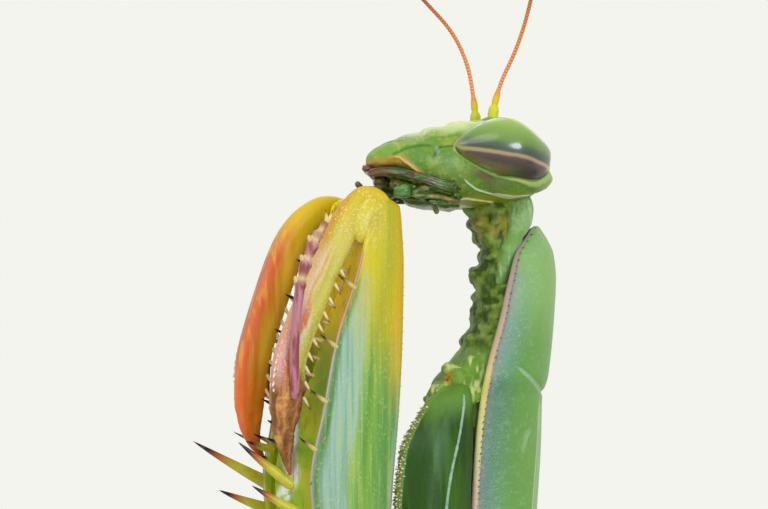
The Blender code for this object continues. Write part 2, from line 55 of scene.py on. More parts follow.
# ------------ frames, from the solids
KEEL_BACK = 2.98  # from the stance's own origin back to the shield's highest point
HEAD_PLACE = (-0.02, 0.0, 36.6)
HEAD_TURN, HEAD_TILT = 23, 5
LEG_JOINT = (1.2, 1.95)
LEG_TURN = 20
LEG_REACH = {"left": 0.0, "right": 1.2}
BASE = 14.6  # height of the shield's rear end


def turned(degrees, axis):
    return Matrix.Rotation(math.radians(degrees), 4, axis)


def stance_frame():
    low, high = (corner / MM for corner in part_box("pronotum"))
    origin = (high.x - KEEL_BACK, (low.y + high.y) / 2, 0)
    return Matrix.Translation(origin) @ turned(180, "Z")


def foreleg_frame(word):
    forward, out = LEG_JOINT
    joint = Vector((forward, SIDES[word] * out, 0))
    ahead = turned(LEG_TURN, "Z") @ Vector((1, 0, 0))
    return STANCE @ Matrix.Translation(joint + ahead * LEG_REACH[word]) @ turned(LEG_TURN, "Z")


STANCE = stance_frame()
HEAD = STANCE @ Matrix.Translation(HEAD_PLACE) @ turned(HEAD_TURN, "Z") @ turned(HEAD_TILT, "X")


# ------------ curves and rings
def rows(table, at):
    """A table's columns at these values of its first, on a curve that doesn't overshoot its rows."""
    table = np.array(table, float)
    x, y = table[:, 0], table[:, 1:]
    at = np.clip(np.atleast_1d(at), x[0], x[-1])
    i = np.clip(np.searchsorted(x, at, side="right") - 1, 0, len(x) - 2)
    step = np.diff(x)[:, None]
    slope = np.diff(y, axis=0) / step
    before, after = slope[:-1], slope[1:]
    total = np.where(before + after == 0, 1, before + after)
    middle = np.where(before * after > 0, 2 * before * after / total, 0)
    tangent = np.vstack([slope[:1], middle, slope[-1:]])
    t = ((at - x[i]) / step[i, 0])[:, None]
    start, end = y[i], y[i + 1]
    go, come = tangent[i] * step[i], tangent[i + 1] * step[i]
    return (
        start * (2 * t**3 - 3 * t**2 + 1) + go * (t**3 - 2 * t**2 + t)
        + end * (3 * t**2 - 2 * t**3) + come * (t**3 - t**2)
    ).T


def walked(path):
    """How far along a path each of its points lies."""
    return np.concatenate([[0], np.cumsum(np.linalg.norm(np.diff(path, axis=0), axis=1))])


def through(points, count):
    """Evenly spaced points on a smooth curve through these."""
    p = np.array(points, float)
    p = np.vstack([2 * p[0] - p[1], p, 2 * p[-1] - p[-2]])
    t = np.linspace(0, len(p) - 3, 40 * len(p))[:, None]
    i = np.minimum(t.astype(int)[:, 0], len(p) - 4)
    t = t - i[:, None]
    a, b, c, d = p[i], p[i + 1], p[i + 2], p[i + 3]
    square, cube = (2 * a - 5 * b + 4 * c - d) * t**2, (3 * b - a - 3 * c + d) * t**3
    fine = 0.5 * (2 * b + (c - a) * t + square + cube)
    gone = walked(fine[:, :3])
    even = np.linspace(0, gone[-1], count)
    return np.column_stack([np.interp(even, gone, fine[:, k]) for k in range(p.shape[1])])


def unit(v):
    return v / np.maximum(np.linalg.norm(v, axis=-1, keepdims=True), 1e-9)


def hump(x, middle, width):
    return np.exp(-(((x - middle) / width) ** 2))


def step(x, low, high):
    t = np.clip((x - low) / (high - low), 0, 1)
    return t * t * (3 - 2 * t)


def circle(count):
    """Cosines and sines of evenly spaced angles."""
    turn = np.arange(count) / count * math.tau
    return np.cos(turn), np.sin(turn)


def grid_of(x, y, z):
    """Rows of points from three arrays that spread over one another."""
    return np.stack(np.broadcast_arrays(x, y, z), axis=-1)


def there_and_back(out, back):
    """Closed rows from two sets of rows, the second ones run backwards."""
    return np.concatenate([out, back[:, ::-1]], axis=1)


def signed_power(values, power):
    return np.sign(values) * np.abs(values) ** power


def rings(path, across, up, sides, hint=(0, 0, 1), fullness=1.0):
    """Oval rings round a path, none of them twisted away from the hint."""
    along = unit(np.gradient(path, axis=0))
    one = unit(np.cross(along, np.broadcast_to(hint, along.shape)))
    two = np.cross(one, along)
    c, s = (signed_power(v, fullness)[None, :, None] for v in circle(sides))
    across, up = (np.broadcast_to(v, len(path))[:, None, None] for v in (across, up))
    return path[:, None] + one[:, None] * c * across + two[:, None] * s * up


def rounded(path, sizes, start=1.0, end=1.0):
    """Sizes drawn in towards the two ends of a path, so that they close round."""
    gone = walked(path)
    sizes = np.broadcast_to(sizes, len(path)).copy()
    for reach, left in ((start, gone), (end, gone[-1] - gone)):
        if reach:
            r = sizes.max() * reach
            t = np.clip(1 - left / r, 0, 1)
            sizes = sizes * np.sqrt(np.maximum(1 - t * t, 0.0009))
    return sizes


# ------------ meshes
BALL_SIDES, BALL_RINGS = 24, 16


def write_marks(mesh, marks):
    for name, values in marks.items():
        layer = mesh.attributes.new(name, "FLOAT", "POINT")
        layer.data.foreach_set("value", np.full(len(mesh.vertices), values, np.float32))


def settle(name, mesh, slot, finish, *nodes):
    """Finishes a piece, on its body and standing for its solids."""
    mesh.shade_smooth()
    mesh.name = name
    mesh.materials.clear()
    mesh.materials.append(finish)
    piece = bpy.data.objects.new(name, mesh)
    bpy.context.scene.collection.objects.link(piece)
    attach(piece, "root")
    if nodes:
        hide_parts(*nodes)


def grid_mesh(grid, place, marks=None):
    """A closed mesh through rows of points, its two ends capped at their middles."""
    n, m = grid.shape[:2]
    points = np.vstack([grid.reshape(-1, 3), grid[0].mean(0), grid[-1].mean(0)])
    points = points @ np.array(place.to_3x3()).T + np.array(place.translation)
    i, j = (v.ravel() for v in np.meshgrid(np.arange(n - 1), np.arange(m), indexing="ij"))
    k = (j + 1) % m
    quads = np.column_stack([i * m + j, i * m + k, (i + 1) * m + k, (i + 1) * m + j])
    a, b, c, d = (points[quads[:, q]] for q in range(4))
    turned_in = np.einsum("ij,ij->i", a - points.mean(0), np.cross(c - a, d - b)).sum() < 0
    j = np.arange(m)
    k = (j + 1) % m
    last = (n - 1) * m
    caps = np.vstack([
        np.column_stack([k, j, np.full(m, n * m)]),
        np.column_stack([last + j, last + k, np.full(m, n * m + 1)]),
    ])
    if turned_in:
        quads, caps = quads[:, ::-1], caps[:, ::-1]
    mesh = bpy.data.meshes.new("grid")
    mesh.from_pydata(points * MM, [], quads.tolist() + caps.tolist())
    flat = {}
    for name, values in (marks or {}).items():
        values = np.broadcast_to(values, (n, m))
        flat[name] = np.concatenate([values.ravel(), [values[0].mean(), values[-1].mean()]])
    write_marks(mesh, flat)
    return mesh


def joined(meshes):
    """Several meshes as one, their marks kept."""
    whole = bmesh.new()
    for mesh in meshes:
        whole.from_mesh(mesh)
    layers = [layer for mesh in meshes for layer in mesh.attributes]
    names = sorted({a.name for a in layers if a.data_type == "FLOAT" and a.domain == "POINT"})
    marks = {}
    for name in names:
        parts = []
        for mesh in meshes:
            values = np.zeros(len(mesh.vertices), np.float32)
            if name in mesh.attributes:
                mesh.attributes[name].data.foreach_get("value", values)
            parts.append(values)
        marks[name] = np.concatenate(parts)
    made = bpy.data.meshes.new("joined")
    whole.to_mesh(made)
    whole.free()
    for name in names:
        if name in made.attributes:
            made.attributes.remove(made.attributes[name])
    write_marks(made, marks)
    return made


def work_object(mesh):
    """An object whose modifiers make a mesh, gone once that mesh is taken."""
    obj = bpy.data.objects.new("work", mesh)
    bpy.context.scene.collection.objects.link(obj)
    return obj


def taken(obj):
    """The mesh that a work object's modifiers make."""
    graph = bpy.context.evaluated_depsgraph_get()
    made = bpy.data.meshes.new_from_object(obj.evaluated_get(graph))
    obj.modifiers.clear()
    bpy.data.objects.remove(obj)
    return made


def fused(meshes, voxel, softening):
    """Overlapping closed bodies grown together into one skin."""
    obj = work_object(joined(meshes))
    remesh = obj.modifiers.new("remesh", "REMESH")
    remesh.mode, remesh.voxel_size = "VOXEL", voxel * MM
    smooth = obj.modifiers.new("smooth", "SMOOTH")
    smooth.factor, smooth.iterations = 0.5, softening
    return taken(obj)


def points_of(mesh, place):
    """The mesh's points in millimetres in a frame, and its normals there."""
    co = np.empty(len(mesh.vertices) * 3)
    mesh.vertices.foreach_get("co", co)
    normals = np.empty(len(mesh.vertices) * 3)
    mesh.vertex_normals.foreach_get("vector", normals)
    turn = np.array(place.to_3x3())
    local = (co.reshape(-1, 3) / MM - np.array(place.translation)) @ turn
    return local, normals.reshape(-1, 3) @ turn


def move_to(mesh, local, place):
    """Puts the mesh's points at these places in a frame."""
    world = local @ np.array(place.to_3x3()).T + np.array(place.translation)
    mesh.vertices.foreach_set("co", (world * MM).ravel())
    mesh.update()


def near_path(points, path):
    """Distance of each point from a path, and how far along it the nearest place is."""
    path = through(path, 60)
    best = np.full(len(points), np.inf)
    where = np.zeros(len(points))
    for k, (a, b) in enumerate(zip(path, path[1:])):
        run = b - a
        t = np.clip(((points - a) @ run) / (run @ run), 0, 1)
        gap = np.linalg.norm(points - a - t[:, None] * run, axis=1)
        nearer = gap < best
        best = np.where(nearer, gap, best)
        where = np.where(nearer, (k + t) / (len(path) - 1), where)
    return best, where


def crumple(points, size, seed=0.0):
    """Soft noise, -1 to 1, with lumps about this many millimetres across."""
    return np.array([noise.noise(Vector(p) / size + Vector((seed, 0, 0))) for p in points])


def ball(middle, halves, place, turn=(0, 0, 0)):
    """An oval body, its turns in degrees about the frame's three axes."""
    polar = np.linspace(0, math.pi, BALL_RINGS + 2)[1:-1, None]
    c, s = circle(BALL_SIDES)
    unit_ball = grid_of(np.cos(polar), np.sin(polar) * c, np.sin(polar) * s)
    spin = np.array((turned(turn[2], "Z") @ turned(turn[1], "Y") @ turned(turn[0], "X")).to_3x3())
    return grid_mesh((unit_ball * halves) @ spin.T + np.array(middle), place)


# ------------ shader expressions
def tone(red, green, blue):
    """A colour given as 0 to 255 on screen."""
    return (*(((c / 255 + 0.055) / 1.055) ** 2.4 for c in (red, green, blue)), 1.0)


class Wire:
    """A shader socket; arithmetic on it adds the Math nodes."""

    def __init__(self, finish, socket):
        self.finish, self.socket = finish, socket

    def math(self, operation, *values):
        return self.finish.node("ShaderNodeMath", {"operation": operation}, dict(enumerate(values)))

    def __add__(self, other):
        return self.math("ADD", self, other)

    def __sub__(self, other):
        return self.math("SUBTRACT", self, other)

    def __rsub__(self, other):
        return self.math("SUBTRACT", other, self)

    def __mul__(self, other):
        return self.math("MULTIPLY", self, other)

    def __truediv__(self, other):
        return self.math("DIVIDE", self, other)

    __radd__, __rmul__ = __add__, __mul__

    def step(self, low, high):
        """0 below low, 1 above high, eased between."""
        settings = {"interpolation_type": "SMOOTHSTEP"}
        sockets = {0: self, 1: low, 2: high, 3: 0.0, 4: 1.0}
        return self.finish.node("ShaderNodeMapRange", settings, sockets)

    def fall(self, low, high):
        """1 below low, 0 above high."""
        return 1 - self.step(low, high)

    def hump(self, middle, width):
        """1 at the middle, falling away within the width on both sides."""
        return self.math("ABSOLUTE", self - middle).fall(0.0, width)


class Finish:
    """One material, built from expressions."""

    def __init__(self, name, **constants):
        self.material = bpy.data.materials.new(name)
        self.material.use_nodes = True
        self.shader = self.material.node_tree.nodes["Principled BSDF"]
        for socket, value in constants.items():
            self.shader.inputs[socket.replace("_", " ")].default_value = value

    def node(self, kind, settings, inputs, output=0):
        """Any node: its settings first, then its sockets' values or links."""
        node = self.material.node_tree.nodes.new(kind)
        for key, value in settings.items():
            if key == "stops":
                for extra in value[2:]:
                    node.color_ramp.elements.new(extra[0])
                for element, (place, *colour) in zip(node.color_ramp.elements, value):
                    element.position, element.color = place, tone(*colour)
            else:
                setattr(node, key, value)
        for key, value in inputs.items():
            if isinstance(value, Wire):
                self.material.node_tree.links.new(value.socket, node.inputs[key])
            else:
                node.inputs[key].default_value = value
        return Wire(self, node.outputs[output])

    def mark(self, name):
        return self.node("ShaderNodeAttribute", {"attribute_name": name}, {}, "Fac")

    def place(self, stretch=(1, 1, 1)):
        spot = self.node("ShaderNodeTexCoord", {}, {}, "Object")
        return self.node("ShaderNodeVectorMath", {"operation": "MULTIPLY"}, {0: spot, 1: stretch})

    def noise(self, size, detail=3.0, stretch=(1, 1, 1)):
        """0 to 1, with blotches about this many millimetres across."""
        sockets = {"Vector": self.place(stretch), "Scale": 1 / (size * MM), "Detail": detail}
        return self.node("ShaderNodeTexNoise", {}, sockets)

    def cells(self, size, feature="F1", spot=None):
        sockets = {"Vector": spot or self.place(), "Scale": 1 / (size * MM)}
        return self.node("ShaderNodeTexVoronoi", {"feature": feature}, sockets)

    def blend(self, share, one, two):
        """From one colour to the other, each a tone's three numbers or a colour made before."""
        one, two = (tone(*colour) if isinstance(colour, tuple) else colour for colour in (one, two))
        settings = {"data_type": "RGBA", "clamp_factor": True}
        return self.node("ShaderNodeMix", settings, {0: share, 6: one, 7: two}, 2)

    def painted(self, colour, *layers):
        """A colour with layers over it, each its mask and then a tone's numbers or a colour made before."""
        for share, *shade in layers:
            colour = self.blend(share, colour, shade[0] if len(shade) == 1 else tuple(shade))
        return colour

    def ramp(self, wire, *stops):
        """Colours along a value, each stop its place and then a tone's numbers."""
        return self.node("ShaderNodeValToRGB", {"stops": stops}, {0: wire})

    def done(self, colour, *layers, roughness=None, height=None, depth=0.0, alpha=None):
        """Paints the layers and links the results; depth is the height's size in millimetres."""
        links = self.material.node_tree.links
        colour = self.painted(colour, *layers)
        for socket, wire in (("Base Color", colour), ("Roughness", roughness), ("Alpha", alpha)):
            if wire:
                links.new(wire.socket, self.shader.inputs[socket])
        if height:
            bump = self.node("ShaderNodeBump", {}, {"Height": height, "Distance": depth * MM})
            links.new(bump.socket, self.shader.inputs["Normal"])
        return self.material


WAXY = {
    "Subsurface_Weight": 0.12,
    "Subsurface_Radius": (0.4, 0.6, 0.15),
    "Subsurface_Scale": 0.5 * MM,
    "Roughness": 0.38,
    "IOR": 1.5,
    "Specular_IOR_Level": 0.3,
}


def cuticle(name, **constants):
    """A waxy finish, with its own constants where they differ."""
    return Finish(name, **WAXY | constants)


# ------------ what grows in rows
def growth_tree(name, part):
    """A tree that sets one part, drawn from the ground up, on every point of a mesh."""
    tree = bpy.data.node_groups.new(name, "GeometryNodeTree")
    face = tree.interface
    face.new_socket("Geometry", in_out="INPUT", socket_type="NodeSocketGeometry")
    for label, kind in (("Sides", "Int"), ("Rings", "Int"), ("Profile", "Float"), ("Curl", "Float")):
        face.new_socket(label, in_out="INPUT", socket_type=f"NodeSocket{kind}")
    face.new_socket("Finish", in_out="INPUT", socket_type="NodeSocketMaterial")
    face.new_socket("Geometry", in_out="OUTPUT", socket_type="NodeSocketGeometry")
    given, result = tree.nodes.new("NodeGroupInput"), tree.nodes.new("NodeGroupOutput")

    def add(kind, settings=None, **sockets):
        node = tree.nodes.new(kind)
        for key, value in (settings or {}).items():
            setattr(node, key, value)
        for key, value in sockets.items():
            socket = node.inputs[int(key[1:]) if key[1:].isdigit() else key.replace("_", " ")]
            if isinstance(value, bpy.types.NodeSocket):
                tree.links.new(value, socket)
            else:
                socket.default_value = value
        return node

    def work(operation, *values):
        sockets = {f"i{k}": v for k, v in enumerate(values)}
        return add("ShaderNodeMath", {"operation": operation}, **sockets).outputs[0]

    def named(label, kind="FLOAT"):
        node = add("GeometryNodeInputNamedAttribute", {"data_type": kind}, Name=label)
        return node.outputs["Attribute"]

    mesh = add(
        "GeometryNodeMeshCone", Vertices=given.outputs["Sides"], Side_Segments=given.outputs["Rings"],
        Radius_Top=0.0 if part == "spine" else 1.0, Radius_Bottom=1.0, Depth=1.0,
    ).outputs["Mesh"]
    spot = add("GeometryNodeInputPosition").outputs[0]
    axes = add("ShaderNodeSeparateXYZ", i0=spot).outputs
    rise = axes[2]
    if part == "spine":
        left = work("MAXIMUM", work("SUBTRACT", 1.0, rise), 0.001)
        swell = work("POWER", left, work("SUBTRACT", given.outputs["Profile"], 1.0))
    else:
        off = work("SUBTRACT", work("MULTIPLY", rise, 2.0), 1.0)
        narrowing = work("MULTIPLY", given.outputs["Profile"], work("MULTIPLY", off, off))
        swell = work("SUBTRACT", 1.0, narrowing)
    bow = work("MULTIPLY", given.outputs["Curl"], work("MULTIPLY", rise, rise))
    shaped = add(
        "ShaderNodeCombineXYZ", i0=work("ADD", work("MULTIPLY", axes[0], swell), bow),
        i1=work("MULTIPLY", axes[1], swell), i2=rise,
    ).outputs[0]
    mesh = add("GeometryNodeStoreNamedAttribute", i0=mesh, Name="tip", Value=rise).outputs[0]
    mesh = add("GeometryNodeSetPosition", Geometry=mesh, Position=shaped).outputs[0]
    way = named("way", "FLOAT_VECTOR")
    turn = add("FunctionNodeAlignRotationToVector", {"axis": "Z"}, Vector=way).outputs[0]
    size = add("ShaderNodeCombineXYZ", i0=named("width"), i1=named("width"), i2=named("length")).outputs[0]
    many = add(
        "GeometryNodeInstanceOnPoints", Points=given.outputs["Geometry"], Instance=mesh, Rotation=turn,
        Scale=size,
    ).outputs[0]
    whole = add("GeometryNodeRealizeInstances", Geometry=many).outputs[0]
    whole = add("GeometryNodeSetMaterial", Geometry=whole, Material=given.outputs["Finish"]).outputs[0]
    tree.links.new(whole, result.inputs[0])
    return tree


TREES = {part: growth_tree(f"{part}s", part) for part in ("spine", "ring")}


def grown(part, places, ways, lengths, widths, finish, place, sides, steps, profile=1, curl=0, **marks):
    """A mesh of spines or rings, one at each place, pointing its own way."""
    places, ways = np.asarray(places, float), np.asarray(ways, float)
    count = len(places)
    turn = np.array(place.to_3x3())
    ways = unit(np.broadcast_to(ways, (count, 3))) @ turn.T
    points = bpy.data.meshes.new("places")
    points.from_pydata(((places @ turn.T + np.array(place.translation)) * MM).tolist(), [], [])
    layer = points.attributes.new("way", "FLOAT_VECTOR", "POINT")
    layer.data.foreach_set("vector", ways.astype(np.float32).ravel())
    write_marks(points, {"length": np.multiply(lengths, MM), "width": np.multiply(widths, MM)} | marks)
    obj = work_object(points)
    modifier = obj.modifiers.new("growth", "NODES")
    modifier.node_group = TREES[part]
    inputs = {
        "Sides": sides, "Rings": steps, "Profile": float(profile), "Curl": float(curl), "Finish": finish,
    }
    for item in TREES[part].interface.items_tree:
        if item.item_type == "SOCKET" and item.in_out == "INPUT" and item.name in inputs:
            modifier[item.identifier] = inputs[item.name]
    return taken(obj)


# ------------ head
EYE_CENTRE, EYE_HALF = (0.45, 2.48, 0.27), (1.99, 1.4, 1.25)
EYE_NEARING, EYE_RISE, EYE_SINK = 0.18, 0.12, 0.14  # inward and upward towards the mouth, down behind
# towards the mouth: half width, face side, neck side, height of the widest place
CAPSULE = (
    (-2.1, 0.5, 0.1, -0.5, -0.15), (-1.95, 1.6, 0.4, -0.95, -0.3), (-1.65, 2.45, 0.85, -1.45, -0.4),
    (-0.7, 2.95, 1.5, -1.78, -0.35), (0.6, 2.84, 1.6, -1.82, -0.35), (1.6, 2.42, 1.36, -1.72, -0.3),
    (2.1, 2.2, 1.12, -1.66, -0.25), (3.0, 1.9, 0.98, -1.12, -0.05), (3.78, 1.6, 0.86, -0.6, 0.1),
    (4.4, 1.15, 0.6, -0.28, 0.15), (4.68, 0.8, 0.42, -0.24, 0.1), (4.86, 0.4, 0.26, -0.14, 0.06),
)
SOCKET = (-0.15, 0.8, 1.6)
PROFILE, PLAN = (1, 0, 1), (1, 1, 0)  # a line is followed as seen from the side, or from the face
# ridges and furrows on the left half of the head: path, width, rise, and how it is seen
HEAD_LINES = {
    "cheek": ((
        (4.75, 0.95, -0.1), (4.4, 1.25, 0.06), (4.03, 1.5, -0.2), (3.35, 1.85, -0.72), (2.8, 2.0, -1.06),
        (2.19, 2.1, -1.5), (1.6, 2.1, -1.75),
    ), 0.065, 0.08, PROFILE),
    "fold": (((4.6, 1.2, 0.1), (4.17, 1.4, 0.36), (3.7, 1.6, 0.46), (3.05, 1.8, 0.48)), 0.07, -0.06, PROFILE),
    "crease": ((
        (3.2, 1.85, -0.05), (2.9, 1.88, 0.34), (2.6, 1.9, 0.41), (2.2, 2.0, 0.42),
    ), 0.05, -0.04, PROFILE),
    "gutter": ((
        (1.7, 1.3, -1.72), (0.6, 1.5, -1.84), (-0.5, 1.5, -1.8), (-1.2, 1.4, -1.66),
    ), 0.04, 0.03, PROFILE),
    # the temple line is a real low ridge; its pale colour in the head finish is a painted highlight, a glint
    # along the ridge
    "temple": ((
        (2.15, 2.2, -0.72), (1.75, 2.5, -1.08), (1.2, 2.7, -1.34), (0.1, 2.9, -1.56), (-1.0, 2.8, -1.5),
    ), 0.035, 0.035, PROFILE),
    "frons": ((
        (2.15, 0.0, 1.15), (2.0, 0.8, 1.13), (1.6, 1.35, 1.1), (0.7, 1.5, 1.35), (0.15, 1.25, 1.5),
    ), 0.1, 0.05, PLAN),
    "vertex": (((-0.3, 0.75, 1.6), (-1.2, 0.85, 1.35), (-1.95, 0.9, 0.6)), 0.09, -0.05, PLAN),
    "lip": (((4.15, 0.0, 0.82), (4.1, 0.6, 0.72), (4.25, 1.1, 0.4), (4.4, 1.3, 0.1)), 0.07, -0.04, PLAN),
    "face": (((0.1, 0.0, 1.62), (1.2, 0.0, 1.45), (2.1, 0.0, 1.15)), 0.1, -0.04, PLAN),
}
JAW_KNUCKLE = (3.0, 1.86, 0.24)


def eye_falls(along, out, up):
    """How far behind its middle a part of the eye is, and its width and height there as shares."""
    behind = step(-along, 0, 1.0)
    width = np.where(out > 0, 1 - 0.28 * behind, 1.0)
    height = np.where(up > 0, 1.04 - 0.42 * behind, 1 + 0.26 * behind)
    return behind, width, height


def eye_share(points):
    """How far out from the nearer eye's middle each point lies, as a share of the way to its surface."""
    along = (points[:, 0] - EYE_CENTRE[0]) / EYE_HALF[0]
    taper = np.interp(along, (-1, -0.45, 0, 0.35, 0.71, 1), (1.08, 1.08, 1.0, 0.84, 0.63, 0.45))
    out = (np.abs(points[:, 1]) - EYE_CENTRE[1] + EYE_NEARING * along) / (EYE_HALF[1] * taper)
    sink = EYE_SINK * step(-along, 0, 1.0)
    up = (points[:, 2] - EYE_CENTRE[2] - EYE_RISE * along + sink) / (EYE_HALF[2] * taper)
    _, width, height = eye_falls(along, out, up)
    return np.sqrt(along**2 + (out / width) ** 2 + (up / height) ** 2)


def mirrored(points):
    """Points with the right side's folded on to the left."""
    return points * (1, 0, 1) + np.abs(points) * (0, 1, 0)


def head_capsule(finish):
    a = np.concatenate([[-2.12], np.linspace(-2.08, 4.92, 150), [4.96]])
    half, top, low, widest = rows(CAPSULE, a)[..., None]
    c, s = circle(160)
    # the cheeks drop straight to the jaws, and the crown is rounder
    straight = 0.82 - 0.42 * step(a[:, None], 1.8, 3.2) * (s < 0)
    y = half * signed_power(c, straight)
    z = widest + np.where(s > 0, (top - widest) * np.abs(s) ** 0.9, -(widest - low) * np.abs(s) ** 0.85)
    lumps = [grid_mesh(grid_of(a[:, None], y, z), HEAD)]
    for side in SIDES.values():
        lumps += [
            ball((SOCKET[0] + 0.1, side * SOCKET[1], 1.42), (0.42, 0.4, 0.28), HEAD),  # antennal socket
            ball((-0.55, side * 0.36, 1.52), (0.2, 0.17, 0.16), HEAD),  # hind ocelli
            ball((JAW_KNUCKLE[0], side * 1.84, JAW_KNUCKLE[2]), (0.17, 0.14, 0.24), HEAD),
            ball((2.2, side * 1.25, 1.0), (0.95, 0.5, 0.26), HEAD, turn=(-12, 10, 0)),  # beside the frons
            ball((1.3, side * 1.0, 1.22), (0.7, 0.6, 0.28), HEAD),  # frons
            ball((-0.35, side * 2.3, -0.98), (1.45, 0.8, 0.6), HEAD, turn=(8, 4, 0)),  # temple
        ]
    lumps.append(ball((-0.02, 0, 1.56), (0.2, 0.17, 0.15), HEAD))  # front ocellus
    lumps.append(ball((4.28, 0, 0.12), (0.66, 0.98, 0.44), HEAD, turn=(0, 14, 0)))  # lip
    mesh = fused(lumps, 0.055, 5)
    local, normals = points_of(mesh, HEAD)
    folded = mirrored(local)
    share = eye_share(local)
    rim = hump(share, 1.045, 0.055)
    # the socket mark is the ring where the eye meets the capsule; the finish paints it dark as the shade in
    # the gap there
    marks = {"rim": rim, "socket": hump(share, 0.985, 0.025)}
    knuckle = np.linalg.norm((folded - JAW_KNUCKLE) * (1.5, 1, 0.9), axis=1)
    marks["knuckle"] = 1 - step(knuckle, 0.1, 0.26)
    swell = 0.08 * rim + crumple(local, 0.35) * 0.025
    for name, (path, width, rise, seen) in HEAD_LINES.items():
        gap, where = near_path(folded * seen, np.array(path) * seen)
        line = np.exp(-((gap / width) ** 2)) * step(where, -0.01, 0.12) * step(1 - where, -0.01, 0.12)
        marks[name] = line
        swell = swell + rise * line
    move_to(mesh, local + normals * swell[:, None], HEAD)
    marks["mouthward"] = local[:, 0]
    marks["height"] = local[:, 2]
    marks["out"] = folded[:, 1]
    write_marks(mesh, marks)
    settle("head_skin", mesh, "cuticle_green", finish, "head")


def eye(word, finish):
    """A teardrop whose point is towards the mouth."""
    along = -np.cos(np.linspace(0.02, math.pi - 0.02, 110))
    girth = 0.95 * (1 - along) ** 0.85 * (1 + along) ** 0.55
    along, girth = along[:, None], girth[:, None]
    out, up = circle(120)
    behind, width, height = eye_falls(along, out, up)
    rise = up * height
    grid = grid_of(
        EYE_CENTRE[0] + along * EYE_HALF[0],
        SIDES[word] * (EYE_CENTRE[1] - EYE_NEARING * along + girth * EYE_HALF[1] * (out * width)),
        EYE_CENTRE[2] + EYE_RISE * along - EYE_SINK * behind + girth * EYE_HALF[2] * rise,
    )
    mesh = grid_mesh(grid, HEAD, {"band": rise * girth, "along": along, "up": up})
    settle(f"eye_{word}_skin", mesh, "eye", finish, f"eye_{word}")


def eye_finish():
    eye = Finish("compound_eye", Roughness=0.36, IOR=1.45, Coat_Weight=0.85, Coat_Roughness=0.15)
    along = eye.mark("along")
    wobble = (eye.noise(0.7, 2.0) - 0.5) * 0.06
    level = eye.mark("band") + 0.335 - along * 0.26 - along.fall(-1.0, 0.0) * 0.09 + wobble
    upper = eye.ramp(
        level / 1.3,
        (0.0, 150, 126, 96), (0.03, 146, 124, 90), (0.07, 60, 62, 44),
        (0.11, 34, 52, 38), (0.21, 46, 72, 42), (0.34, 82, 116, 40),
        (0.7, 112, 146, 50), (1.0, 144, 174, 76),
    )
    lower = eye.ramp(
        level + 0.95,
        (0.0, 110, 122, 76), (0.2, 76, 64, 50), (0.36, 48, 28, 32),
        (0.7, 40, 22, 28), (0.88, 74, 48, 46), (0.93, 142, 112, 92),
    )
    pupil = along.hump(-0.27, 0.14) * level.hump(-0.12, 0.1)
    stripe = level.hump(0.01, 0.06)
    corner = along.step(0.8, 1.0)
    clear = (1 - (eye.mark("up") + along * 0.12).step(-0.92, -0.5)) * along.step(-0.3, 0.4)
    below = eye.blend(eye.noise(0.5, 3.0).step(0.4, 0.6), (84, 112, 34), (112, 92, 50))
    colour = eye.painted(
        eye.blend(level.step(-0.02, 0.02), lower, upper),
        (pupil * 0.75, 30, 16, 26),
        (stripe * along.step(-0.1, 0.5) * 0.8, 132, 132, 70),
        (stripe * along.fall(-0.7, -0.2) * 0.7, 176, 128, 110),
        (corner * 0.6, 150, 146, 90),
        (clear * 0.95, below),
    )
    facets = eye.cells(0.035)
    return eye.done(colour, height=facets, depth=0.002)


